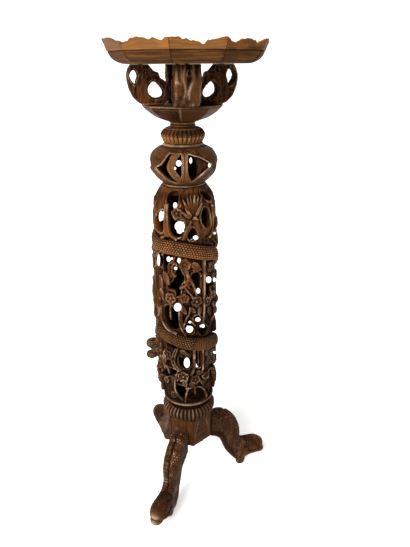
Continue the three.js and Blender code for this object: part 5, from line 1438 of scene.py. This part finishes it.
RECESSED = [(25.4, 836.2), (31.8, 840.7), (47.0, 831), (55.6, 825.1), (54.9, 814.5), (42.8, 800.6), (34.6, 794.6), (29.5, 806), (28.0, 820.3)]


def bulb():
    ref = 60.0
    D = Drum(400, 773.6, 858.6, 0.95, 34.0, 71.0, 0.9, ref)
    D.U = lambda phi: np.asarray(phi, float) * DEG * ref
    phi = D.u / ref / DEG - FRONT
    a = (phi - 3 + 60) % 120 - 60 + 3                # the same carving three times round
    X, Z = (a * DEG * ref)[:, None], D.z[None]
    mm = lambda pts, per=4: spline([(p * DEG * ref, z) for p, z in pts], per, True)
    lens, cres, mid, rec = (poly_sd(X, Z, mm(q, 3)) for q in (LENS, CRESCENT, MIDDLE, RECESSED))
    Ro = np.interp(D.z, *np.array(BULB).T)[None]
    R = D.r[None, None]
    nu, nz = D.nu, len(D.z)
    H = 0.35 * noise2(nu, nz, 50, 14, 51) + 0.2 * noise2(nu, nz, 130, 30, 52)
    body = smooth(781, 785, Z) * smooth(850, 846, Z)
    H = H * body
    low = smooth(822, 812, Z)
    H += (1.7 * np.exp(-((lens - 1.6) / 0.9) ** 2) + 1.4 * np.exp(-((lens - 4.6) / 0.95) ** 2) - 0.7 * np.exp(-((lens - 3.1) / 0.6) ** 2)) * low * (lens > 0)
    hatch = np.cos((X * 0.75 + Z * 0.62) * 1.75) * np.exp(-((lens - 3.2) / 1.9) ** 2)
    H += 0.45 * hatch * low * (lens > 0)
    H += 0.7 * np.exp(-((lens - 1.2) / 1.0) ** 2) * (1 - low) * (lens > 0) * body
    # faint leaves cut on the dome
    for p0, z0, p1, z1, wd in ((-52, 842, -40, 824, 8), (-58, 828, -52, 806, 8), (48, 844, 40, 832, 7), (58, 838, 61, 812, 8), (-34, 848, -30, 836, 6), (30, 849, 36, 840, 6)):
        ax, ay, bx, by = p0 * DEG * ref, z0, p1 * DEG * ref, z1
        L = math.hypot(bx - ax, by - ay)
        ex, ey = (bx - ax) / L, (by - ay) / L
        sx, cy = ((X - ax) * ex + (Z - ay) * ey) / L, (X - ax) * -ey + (Z - ay) * ex
        half = wd * np.clip(np.sin(np.pi * np.clip(sx, 0, 1)), 0, 1) ** 0.8
        inside = (np.abs(cy) < half) & (sx > 0) & (sx < 1)
        H += np.where(inside, 0.5 - 0.55 * np.exp(-(cy / 0.8) ** 2) + 0.18 * np.cos((sx * L - np.abs(cy)) * 1.6), 0)
        H -= 0.55 * np.exp(-((np.abs(cy) - half) / 0.8) ** 2) * (sx > 0) * (sx < 1)
    Rin = np.interp(D.z, [775, 785, 802, 819, 835, 847, 852, 858], [38, 38.5, 54, 58.5, 54.5, 42, 36.5, 36.5])[None, :, None]
    outer = (Ro + H)[..., None]
    F = np.maximum(R - outer, Rin - R)
    F = np.maximum(F, -(lens[..., None] - 0.10 * np.clip(outer - R, 0, 30)))
    rib = np.exp(-((X - np.interp(Z, [784, 792, 811, 829, 846], [1.5, 2.3, 4.5, 4.7, 4.3]) * DEG * ref) / 0.85) ** 2)
    fanv = 0.5 * np.cos((X - 2 * DEG * ref) * 9.0 / np.maximum(4.0, (803 - Z) * 0.62 + 4)) * smooth(806, 798, Z)
    midt = Ro - 0.4 - 1.7 * rib + fanv + 0.9 * smooth(0, -4, mid) + 0.25 * noise2(nu, nz, 150, 20, 53)
    F = np.minimum(F, np.maximum(np.maximum(mid[..., None], R - midt[..., None]), Ro[..., None] - 9.0 - R))
    cg = np.exp(-((X - np.interp(Z, [790, 800, 819, 837, 845], [-14.5, -18.2, -20.6, -18.6, -14.0]) * DEG * ref) / 0.9) ** 2)
    crt = Ro - 2.6 - 1.5 * cg + 1.5 * smooth(0, -4, cres) + 0.25 * noise2(nu, nz, 150, 20, 54)
    F = np.minimum(F, np.maximum(np.maximum(cres[..., None], R - crt[..., None]), Ro[..., None] - 10.0 - R))
    ret = Ro - 7.0 + 1.2 * smooth(0, -5, rec) - 1.0 * np.exp(-((X - 40 * DEG * ref) / 1.0) ** 2)
    F = np.minimum(F, np.maximum(np.maximum(rec[..., None], R - ret[..., None]), Ro[..., None] - 13.0 - R))
    knob = np.sqrt((X + 24.3 * DEG * ref) ** 2 + (Z - 844.6) ** 2)[..., None]
    F = np.minimum(F, np.hypot(knob, R - (Ro[..., None] + 0.2)) - 1.9)
    F = np.maximum(F, np.maximum(775.2 - D.z, D.z - 857.1)[None, :, None])
    D.F = F.astype(f4)
    see_through(D, ref, FRONT * DEG, BULB_SIGHT, BULB_STAND, 54.0, 66.0, D.z)
    shut(D.F)
    P, Q = nets(D.F, True)
    good, Q = keep_large(P, Q)
    P = P[good]
    cav, edge = shade(D.F, P, (2, 5), True)
    r = D.r[0] + P[:, 2] * D.dr
    ph = (P[:, 0] % D.nu) * 2 * math.pi / D.nu
    z = D.z[0] + P[:, 1] * D.dz
    ro = np.interp(z, *np.array(BULB).T)
    i, j = np.clip(P[:, 0].astype(int), 0, nu - 1) % nu, np.clip(P[:, 1].astype(int), 0, nz - 1)
    on_mid = (mid[i, j] < 0.5) | (cres[i, j] < 0.5)
    out = smooth(ro - 5.5, ro - 2.5, r)
    # painted shade in the recesses set back from the bulb's face and in two ring grooves
    cav = np.clip(cav + 0.9 * (1 - smooth(ro - 9, ro - 5, r)) * (z > 785), 0, 1)
    ringline = np.exp(-((z - 777.4) / 1.3) ** 2) + np.exp(-((z - 855.0) / 1.2) ** 2) * (r > 38)
    cav = np.clip(cav + 0.6 * np.exp(-((z - 851.6) / 0.9) ** 2) * out + 0.5 * np.exp(-((z - 780.0) / 0.8) ** 2) * out, 0, 1)
    # painted highlight and wear on the ring lines
    edge = np.clip(edge * out + 0.75 * ringline * out, 0, 1)
    tone = 0.95 * on_mid * out * smooth(784, 796, z) * smooth(848, 838, z) + 0.22 * np.exp(-((lens[i, j] - 3) / 3) ** 2) * (z < 818) * out
    V = polar(ph, r, z)
    return V, Q, {"cav": cav * (1 - 0.3 * on_mid * out), "edge": edge, "tone": np.clip(tone, 0, 1)}, z


V, Q, A, zz = bulb()
split_levels(V, Q, A, zz, [816.0], "bulb_carved", mat_bulb, "bulb")


# ------------------------------------------------------- brackets, legs, block
def polygon_curve(pts, per=4):
    return spline(pts, per, True)


def rotate_out(P, step, low, phi):
    """index points of a (across, up, out) grid -> world, facing the direction phi"""
    t, z, r = (low[i] + P[:, i] * step for i in range(3))
    s, c = math.sin(phi), math.cos(phi)
    return to_world(r * s + t * c, -r * c + t * s, z), t, z, r


piece("serpent_head_lobes", lobes(), mat_carved, None)


def ridged(x, y, z, seed):
    return 1 - 2 * np.abs(noise3(x, y, z, seed))


BRACKET = [(96, 999.85), (101.5, 992), (104.4, 983), (104, 971), (101, 957), (94, 943), (84, 933.5), (76, 929.6), (38, 929.6), (28.5, 936), (27.4, 948), (27.4, 966), (34, 972), (42, 977), (45, 986), (53, 988.5), (58, 994), (63, 999.85)]
EAR = [(90.5, 990.5), (97.4, 983), (96.6, 975.5), (89.2, 965.5), (87.4, 972), (84.4, 981.5)]
WEB = [(55, 970.4), (64.6, 961.6), (64.8, 950.4), (55.4, 941.6), (43, 941.6), (37, 949), (43, 961.4)]


def round_box(sd, side, rho):
    a, b = sd + rho, side + rho
    return np.hypot(np.maximum(a, 0), np.maximum(b, 0)) - rho + np.minimum(np.maximum(a, b), 0)


def bracket(name, node, phi, seed, front=False, wide=0.0):
    step = 0.95
    t = np.arange(-27.2, 27.3, step)
    z = np.arange(927.6, 1001.6, step)
    r = np.arange(25.2, 107.0, step)
    rr, zz_ = np.meshgrid(r, z, indexing="ij")
    straight = lambda pts: refine(pts, 2.0)
    out = poly_sd(rr, zz_, straight(BRACKET))
    ear = poly_sd(rr, zz_, polygon_curve(EAR)) - wide
    web = poly_sd(rr, zz_, polygon_curve(WEB))
    hole = np.minimum(ear, web)
    T_, Z_, R_ = t[:, None, None], z[None, :, None], r[None, None, :]
    O, Hh, E, W = (q.T[None] for q in (out, hole, ear, web))
    flare = 1 - smooth(929.6, 934, Z_) * smooth(999.6, 996, Z_)
    # bark: deep upright strands on the outer and inner faces, grooves that follow the outline on the sides
    bark = 2.3 * ridged(T_ / 7.5, Z_ / 34, R_ / 60, seed) + 0.9 * ridged(T_ / 3.2, Z_ / 15, R_ / 40, seed + 1) - 1.3
    strands = np.clip(bark, -3.2, 1.2) * (1 - flare)
    sd = O - strands * smooth(34, 46, R_) - 0.8
    sd = np.maximum(sd, O + 0.02)
    sd = np.maximum(sd, -Hh + 0.5 * noise3(T_ / 4, Z_ / 5, R_ / 5, seed + 2))
    ring = 1.6 * np.exp(-((W - 3.2) / 2.0) ** 2) + 1.0 * np.exp(-((E - 2.4) / 1.6) ** 2)
    flow = 0.95 * np.cos((np.minimum(W, 60) * 0.95 + 1.6 * noise3(T_ * 0, Z_ / 9, R_ / 9, seed + 3)) * 1.05)
    knots = 1.2 * ridged(T_ * 0 + seed, Z_ / 11, R_ / 7, seed + 4)
    grain_ = 1.1 * ridged(T_ * 0 + seed + 3, Z_ / 26, (R_ + 0.25 * Z_) / 4.6, seed + 5)
    w = 24.0 + (ring + 0.38 * flow + 0.8 * knots + grain_ - 2.2) * (1 - flare) + 0.6 * flare
    w = np.minimum(w, 24.95)
    G = round_box(sd, np.abs(T_) - w, 3.0)
    G = np.maximum(G, O)
    F = shut(G.astype(f4), False)
    P, Q = nets(F)
    good, Q = keep_large(P, Q)
    P = P[good]
    cav, edge = shade(F, P, (2, 5))
    V, tt, zc, rc = rotate_out(P, step, (t[0], z[0], r[0]), phi)
    k = np.clip(np.round(P).astype(int), 0, np.array(F.shape) - 1)
    face = np.broadcast_to(bark, F.shape)[k[:, 0], k[:, 1], k[:, 2]]
    outer_face = smooth(3.0, 1.0, -np.broadcast_to(O, F.shape)[k[:, 0], k[:, 1], k[:, 2]]) * (np.abs(tt) < 23)
    # painted shade in the bark grooves of the outer face and at the top under the tray
    cav = np.clip(0.8 * cav + 0.9 * smooth(-0.6, -2.2, face) * outer_face + 0.45 * smooth(990, 999, zc), 0, 1)
    # painted highlight on the strand crests
    edge = np.clip(0.55 * edge + 0.8 * smooth(0.3, 1.2, face) * outer_face * smooth(-0.2, 0.5, noise3(tt / 9, zc / 16, rc * 0, seed + 7)), 0, 1)
    # painted shade on the walls of the holes
    wall = smooth(1.8, 0.8, np.abs(np.broadcast_to(Hh, F.shape)[k[:, 0], k[:, 1], k[:, 2]])) * smooth(24, 20, np.abs(tt))
    cav = np.clip(cav + 0.6 * wall, 0, 1)
    tone = 0.3 * smooth(-0.2, 0.6, noise3(tt / 8, zc / 26, rc / 14, seed + 8))
    if front:
        # painted highlights along strands and round a knot on the side towards the front, painted shade in the knot and
        # beside a strand
        wave = tt - 5 - 4.5 * np.sin(zc / 11)
        front_highlight = np.exp(-(wave / 2.4) ** 2) * smooth(938, 946, zc) * smooth(976, 966, zc) + 0.8 * np.exp(-((tt + 7 + 2 * np.sin(zc / 7)) / 1.8) ** 2) * smooth(934, 950, zc)
        knot = np.hypot(tt - 1.5, (zc - 985) * 0.8)
        front_highlight = front_highlight + 0.9 * np.exp(-((knot - 4.0) / 1.5) ** 2) + 0.6 * np.exp(-((tt - 9) / 1.6) ** 2) * smooth(970, 980, zc) + 0.6 * np.exp(-((tt + 12) / 1.5) ** 2) * smooth(968, 982, zc)
        edge = np.clip(edge + 0.95 * front_highlight * outer_face, 0, 1)
        cav = np.clip(cav + 0.8 * np.exp(-((knot - 1.0) / 1.4) ** 2) * outer_face + 0.6 * np.exp(-((wave + 6) / 2.0) ** 2) * outer_face - 0.5 * front_highlight * outer_face, 0, 1)
        tone = np.clip(tone + 0.5 * smooth(0, 8, tt) * outer_face, 0, 1)
    me = make_mesh(name, V, Q, {"cav": cav, "edge": edge, "tone": tone})
    return piece(name, me, mat_bracket, node)


for n, side in enumerate(("front", "right", "back", "left")):
    bracket(f"cup_bracket_{side}_carved", f"cup_bracket_{side}", (24.4 + 90 * n) * DEG, 71 + 13 * n, n == 0, (0.0, 2.4, 0.0, 0.0)[n])


LEG = [(48.9, 179.6), (58, 183.6), (72, 187.4), (89, 185), (95, 178.5), (100, 179.2), (112, 168.6), (124, 153.6), (132.8, 137), (136.8, 119), (137, 102), (138.3, 90), (148, 81.8), (161, 79.6), (175, 77.4), (188, 72.6),
       (198, 61.8), (204.2, 51), (205.8, 41), (203.2, 34.8), (196, 33.8), (182, 33.3), (168, 30.3), (157, 24.3), (146, 17.3), (131, 17.3), (120.3, 25), (107.3, 41), (95.8, 59), (85.4, 80), (78.4, 97), (71.8, 106.2), (62.2, 113.2), (48.9, 121.3)]
SPINE = [(48.9, 152), (68, 151), (86, 146), (100, 133), (110, 112), (117, 90), (126, 68), (140, 54), (158, 52), (176, 53), (192, 50), (206, 44)]


def leg_field():
    step = 1.1
    t = np.arange(-28.5, 28.6, step)
    z = np.arange(-1.5, 190.0, step)
    r = np.arange(47.5, 212.5, step)
    rr, zz_ = np.meshgrid(r, z, indexing="ij")
    out = poly_sd(rr, zz_, polygon_curve(LEG, 2)).T
    d, where, side = (q.T for q in line_sd(rr, zz_, spline(SPINE, 4)))
    T_, Z_, R_ = t[:, None, None], z[None, :, None], r[None, None, :]
    L = 250.0
    s = (where * L)[None]
    h = (d * side)[None]
    across = np.arctan2(T_ * 1.25, h + 1e-3)                 # 0 on the outer side
    relief, cavp, light = leg_pattern(np.broadcast_to(s, F_shape(T_, Z_, R_)), np.broadcast_to(across, F_shape(T_, Z_, R_)), T_, Z_, R_)
    w = np.interp(s[0], [0, 60, 110, 150, 185, 215, 250], [20, 20, 19, 18.2, 19, 21.5, 20.5])[None]
    slab = np.maximum(out[None] + 0.9, R_ - 186.0)           # the leg itself ends inside the toe
    G = round_box(slab, np.abs(T_) - w + 0.9, 13.0)
    toe = (np.sqrt(((R_ - 181.5) / 24.0) ** 2 + (T_ / 22.6) ** 2 + ((Z_ - 57.0) / 20.5) ** 2) - 1) * 21
    k = 6.0
    hmix = np.clip(0.5 + 0.5 * (toe - G) / k, 0, 1)
    G = toe * (1 - hmix) + G * hmix - k * hmix * (1 - hmix)
    for cr, ct, cz, ar, at_, az, k in ((191, -2.5, 41.0, 17.5, 15.5, 8.8, 1.6), (197, 0, 60.0, 8.5, 11.5, 9.5, 2.5), (196, 9, 55.0, 7.0, 8.0, 7.0, 2.0), (196, -9, 55.0, 7.0, 8.0, 7.0, 2.0)):
        lump = (np.sqrt(((R_ - cr) / ar) ** 2 + ((T_ - ct) / at_) ** 2 + ((Z_ - cz) / az) ** 2) - 1) * az
        hmix = np.clip(0.5 + 0.5 * (lump - G) / k, 0, 1)
        G = lump * (1 - hmix) + G * hmix - k * hmix * (1 - hmix)
    G = G - relief * smooth(50.5, 55, R_)
    # mouth line round the toe, lip below it, small pits for the eyes
    jaw = 48.6 - 0.04 * (R_ - 184)
    G = G + 4.4 * np.exp(-((Z_ - jaw) / 2.1) ** 2) * smooth(156, 166, R_)
    swirl = np.abs(np.hypot(R_ - 176, (Z_ - 58) * 1.25) - 12.5)
    G = G + 1.5 * np.exp(-(swirl / 1.3) ** 2) * smooth(9, 15, np.abs(T_)) * smooth(52, 56, Z_)
    for sg in (-1, 1):
        G = np.maximum(G, 3.0 - np.sqrt((R_ - 192) ** 2 + (T_ - sg * 20.5) ** 2 + (Z_ - 60) ** 2))
        G = np.maximum(G, 1.7 - np.sqrt((R_ - 203.5) ** 2 + (T_ - sg * 5.5) ** 2 + (Z_ - 63) ** 2))
    ball = np.hypot(R_ - 143.5, T_) - np.interp(Z_, [0, 3, 12, 22], [8.6, 10.4, 12.6, 13.0])
    ball = np.maximum(ball, Z_ - 24)
    G = np.minimum(G, ball)
    G = np.maximum(G, np.maximum(0.12 - Z_, 49.1 - R_))
    return shut(np.broadcast_to(G, F_shape(T_, Z_, R_)).astype(f4).copy(), False), (t[0], z[0], r[0]), step


def F_shape(*a):
    return np.broadcast(*a).shape


def leg_pattern(s, across, T_, Z_, R_):
    """scales: long overlapping ones to the left of the ridge, small arcs to the right and on the flanks"""
    arc = across * 17.0
    bound = smooth(6, 14, s) * smooth(208, 190, s)
    right = across > 0
    lu, lt = 4.1, 3.9
    row = np.floor(s / lu)
    x = arc / lt + 0.5 * (row % 2)
    fx, fs = (x - np.floor(x) - 0.5) * lt, (s / lu - row) * lu
    dd = np.hypot(fx / 1.95, (fs - 1.9) / 2.15)
    small = np.clip(1.2 - dd, 0, 1) * (0.55 + 0.45 * (fs / lu))
    lu2, lt2 = 8.6, 4.4
    row2 = np.floor(s / lu2)
    x2 = arc / lt2 + 0.5 * (row2 % 2)
    gx, gs = (x2 - np.floor(x2) - 0.5) * lt2, (s / lu2 - row2) * lu2
    de = np.hypot(gx / 2.2, (gs - 4.0) / 4.5)
    long_ = np.clip(1.2 - de, 0, 1) * (0.55 + 0.45 * gs / lu2)
    use_long = (~right) * smooth(30, 24, np.abs(arc))
    uneven = 0.55 + 0.6 * smooth(-0.4, 0.4, noise3(T_ / 9, Z_ / 12, R_ / 12, 95))
    pat = (long_ * 1.25 * use_long + small * 1.05 * (1 - use_long)) * uneven
    grooveline = np.exp(-(arc / 1.5) ** 2) * smooth(18, 30, s) * smooth(178, 150, s)
    inner = smooth(2.2, 2.6, np.abs(across))               # underside stays plain
    relief = (pat - 0.5) * bound * (1 - inner) - 1.8 * grooveline
    # gap: painted shade between the scales and in the spine groove; tip: painted highlight on the scale tips
    gap = np.where(use_long > 0.5, smooth(0.8, 1.1, de), smooth(0.8, 1.1, dd))
    tip = np.where(use_long > 0.5, smooth(0.7, 0.2, de), smooth(0.7, 0.2, dd))
    return relief, gap * bound * (1 - inner) * 0.7 + 0.9 * grooveline, tip * bound * (1 - inner)


Fl, low_leg, st_leg = leg_field()
Pl, Ql = nets(Fl)
good, Ql = keep_large(Pl, Ql)
Pl = Pl[good]
cav_l, edge_l = shade(Fl, Pl, (2, 5))
tl, zl, rl = (low_leg[i] + Pl[:, i] * st_leg for i in range(3))
dl, wl, sl = line_sd(rl, zl, spline(SPINE, 4))
rel_l, gap_l, tip_l = leg_pattern(wl * 250.0, np.arctan2(tl * 1.25, dl * sl + 1e-3), tl, zl, rl)
fore = smooth(-0.3, 0.5, noise3(tl / 7, zl / 9, rl / 9, 91))
# painted shade between the scales, in a band above the toe and on the underside
cav_l = np.clip(0.75 * cav_l + 0.95 * gap_l + 0.55 * np.exp(-((wl * 250 - 186) / 9) ** 2) * (zl > 60) + 0.5 * smooth(0.0, 1.0, (np.abs(np.arctan2(tl, dl * sl)) > 2.3) * 1.0) * (rl < 130), 0, 1)
# painted highlights on the toe's knuckle and lower lip
knuckle_highlight = 1.5 * np.exp(-(((rl - 204) / 6) ** 2 + ((zl - 60) / 5.5) ** 2 + ((tl + 2) / 9) ** 2)) + 1.3 * np.exp(-(((rl - 206) / 6) ** 2 + ((zl - 41) / 4) ** 2 + ((tl + 5) / 6) ** 2))
mouth = np.exp(-((zl - 48.6) / 2.6) ** 2) * smooth(156, 166, rl)
hollow = np.exp(-(((rl - 168) / 11) ** 2 + ((zl - 76) / 9) ** 2))                # painted shade behind the toe
onto = smooth(24, 16, np.abs(tl))                                              # the outer side, not the flanks
# painted shade in the mouth line, behind the toe and on the flanks
cav_l = np.clip(cav_l + 0.9 * mouth + 0.55 * hollow + 0.22 * smooth(17, 20, np.abs(tl)), 0, 1)
# painted highlight on the scale tips, mostly on the outer side
edge_l = np.clip(0.5 * edge_l * (1 - mouth) + (0.10 + 0.90 * onto) * 0.95 * tip_l * fore, 0, 1)
# painted light on the toe's lower lip and round its knuckle; random lighter patches on the outer side
tone_l = np.clip(0.10 + 0.45 * smooth(52, 44, zl) * (rl > 150) + 0.22 * fore * onto + 0.4 * np.exp(-(((rl - 200) / 9) ** 2 + ((zl - 58) / 9) ** 2 + (tl / 14) ** 2)), 0, 1)
inner_l = smooth(0.3, 0.9, np.cos(np.arctan2(tl, -dl * sl)))      # the side towards the column
heel = {"front": 0.0, "right": -4.4, "left": 2.0}
reach = {"front": 5.6, "right": -2.5, "left": 12.0}      # the three toes differ a little in length
lift = {"front": 0.0, "right": 0.0, "left": 3.0}
slim = {"front": 0.20, "right": 0.0, "left": 0.0}
for n, side in enumerate(("front", "right", "left")):
    Pw = Pl.copy()
    Pw[:, 2] += reach[side] * smooth(148, 200, rl) / st_leg
    Pw[:, 1] += lift[side] * smooth(148, 200, rl) / st_leg
    Pw[:, 2] += heel[side] * smooth(112, 148, rl) * (1 - 0.4 * smooth(160, 200, rl)) / st_leg
    if side == "right":
        Pw[:, 2] -= 3.2 * inner_l * smooth(82, 100, rl) * smooth(150, 138, rl) / st_leg
    tw = tl * (1 - slim[side] * (tl > 0) * smooth(36, 60, zl) * smooth(122, 94, zl))
    if side == "left":
        tw = tw + 3.4 * smooth(110, 150, rl)
    if side == "front":
        tw = tw - 2.0 * smooth(100, 132, rl) - 2.4 * smooth(158, 192, rl)
    Pw[:, 0] = (tw - low_leg[0]) / st_leg
    V, _, _, _ = rotate_out(Pw, st_leg, low_leg, LEG_PHI[side] * DEG)
    me = make_mesh(f"leg_{side}_carved", V, Ql, {"cav": cav_l, "edge": edge_l * (0.45 if side == "right" else 1.0) + knuckle_highlight * (2.2 if side == "front" else 0.6), "tone": tone_l})
    piece(f"leg_{side}_carved", me, mat_leg, f"leg_{side}")


def block_shape(phi, r, z, nr, nz):
    out = smooth(30, 44, r)
    side = out * (np.abs(nr) > 0.5)
    off = np.stack([(phi / DEG - q + 180) % 360 - 180 for q in BLOCK_FACES])
    face = np.abs(off).argmin(0)
    a = np.take_along_axis(off, face[None], 0)[0]     # within one face
    free = (face % 2) == 1                            # faces between the legs
    x = 48.3 * np.tan(a * DEG)
    grain = 0.25 * noise3(x / 2.2, z / 16, face, 101) + 0.35 * noise3(x / 8, z / 20, face, 102)
    arch = np.abs(np.abs(x) - (21.5 - 0.0042 * np.clip(z - 150, 0, 60) ** 2))
    leafl = np.exp(-(arch / 1.3) ** 2) * smooth(205, 196, z) * smooth(150, 165, z) * free
    h1 = np.cos((x * 0.8 + (z - 180)) * 1.05)
    h2 = np.cos((x * 0.8 - (z - 180)) * 1.05)
    spot = smooth(21, 18, np.abs(x) + 0.004 * np.clip(z - 150, 0, 60) ** 2) * smooth(146, 152, z) * free
    cross = np.clip(np.maximum(h1, h2), 0, 1) ** 3 * spot
    diamond = np.clip(-np.maximum(h1, h2) * 1.4, 0, 1) * spot
    veins = 0.35 * np.cos((z - 0.9 * np.abs(x)) * 0.8) * smooth(19, 15, np.abs(x)) * smooth(150, 144, z) * free
    move = side * (grain + 0.9 * leafl - 1.3 * cross + veins) - 0.35 * side
    # painted shade in the cross-hatched grooves, the vein hollows and a band at the top under the ring; dark lines
    # along the faces' corners
    cav = side * (1.0 * cross + 0.25 * (veins < -0.1) + 0.6 * smooth(27, 28.4, np.abs(x)) + 0.6 * smooth(206.5, 209, z)) + 0.2 * (1 - side)
    # painted highlight and wear on the leaf outlines, the grain ridges and the raised diamonds, which are also lighter
    # through tone
    edge = side * (0.30 * leafl + 0.20 * smooth(0.2, 0.5, grain) + 0.30 * diamond)
    return move, np.clip(cav, 0, 1), edge, side * np.clip(0.35 + 0.6 * diamond, 0, 1)


V, Q, A = lathe([(15.4, 134.2), (48.3, 134.2), (48.3, 209.1), (15.4, 209.1)], 340, 1.4, block_shape)
c = V - np.array([AXIS_X * MM, AXIS_Y * MM, 0])
a = np.stack([np.cos(np.arctan2(c[:, 0], -c[:, 1]) - q * DEG) for q in BLOCK_FACES]).max(0)
rr_ = np.hypot(c[:, 0], c[:, 1]) / MM
f = 1 + (1 / a - 1) * smooth(16, 46, rr_)
c[:, 0] *= f
c[:, 1] *= f
piece("base_block_carved", make_mesh("base_block_carved", c + np.array([AXIS_X * MM, AXIS_Y * MM, 0]), Q, A), mat_block, "base_block")

# ------------------------------------------------------------ finish for the rest
for name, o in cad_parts.items():
    o.data.materials.clear()
    if "dowel" in name:
        o.data.materials.append(mat_dowel)
    elif "spigot" in name:
        o.data.materials.append(mat_ring)              # their ends show through the openings
    elif name.startswith("leg"):
        o.data.materials.append(mat_leg)
    else:
        o.data.materials.append(mat_turned)

# ------------------------------------------------------------- floor, light, view
def stage_plane(name, size, location, rotation, glow):
    bpy.ops.mesh.primitive_plane_add(size=size, location=location, rotation=rotation)
    ground = bpy.context.object
    ground.name = name
    gm = bpy.data.materials.new(name)
    gm.use_nodes = True
    gb = gm.node_tree.nodes["Principled BSDF"]
    gb.inputs["Base Color"].default_value = (0.88, 0.88, 0.87, 1)
    gb.inputs["Roughness"].default_value = 0.95
    gb.inputs["Specular IOR Level"].default_value = 0.05
    gb.inputs["Emission Color"].default_value = (1, 1, 1, 1)
    gb.inputs["Emission Strength"].default_value = glow
    ground.data.materials.append(gm)


away = math.radians(15.4)
stage_plane("studio_floor", 16, (0, 0, 0), (0, 0, away), 0.40)
stage_plane("studio_backdrop", 16, (-6.0 * math.sin(away), 6.0 * math.cos(away), 6.0), (math.radians(90), 0, away), 0.06)

world = bpy.data.worlds.new("studio")
bpy.context.scene.world = world
world.use_nodes = True
world.node_tree.nodes["Background"].inputs[0].default_value = (1.0, 1.0, 1.0, 1)
world.node_tree.nodes["Background"].inputs[1].default_value = 0.17


def lamp(name, kind, at, to, size, power, colour=(1, 1, 1)):
    d = bpy.data.lights.new(name, kind)
    if kind == "AREA":
        d.shape = "DISK"
        d.size = size
    else:
        d.angle = size
    d.energy = power
    d.color = colour
    o = bpy.data.objects.new(name, d)
    bpy.context.scene.collection.objects.link(o)
    o.location = at
    from mathutils import Vector
    o.rotation_euler = (Vector(to) - Vector(at)).to_track_quat("-Z", "Y").to_euler()


lamp("key", "SUN", (-0.55, -2.2, 2.2), (0, 0, 0.3), math.radians(30), 4.5, (1.0, 0.985, 0.96))
lamp("side", "AREA", (-1.3, -1.4, 1.3), (0, 0, 0.6), 0.5, 8)

cam = bpy.data.cameras.new("camera")
cam.sensor_fit = "AUTO"
cam.sensor_width = 36.0
cam.lens = 491.4 / 547 * 36
cam.clip_start = 0.02
camera = bpy.data.objects.new("camera", cam)
bpy.context.scene.collection.objects.link(camera)
camera.location = (0.3081 + AXIS_X * MM, -0.9524 + AXIS_Y * MM, 1.000)
camera.rotation_euler = (math.radians(90 - 23.11), math.radians(0.29), math.radians(15.4))
bpy.context.scene.camera = camera
bpy.context.scene.view_settings.view_transform = "Standard"
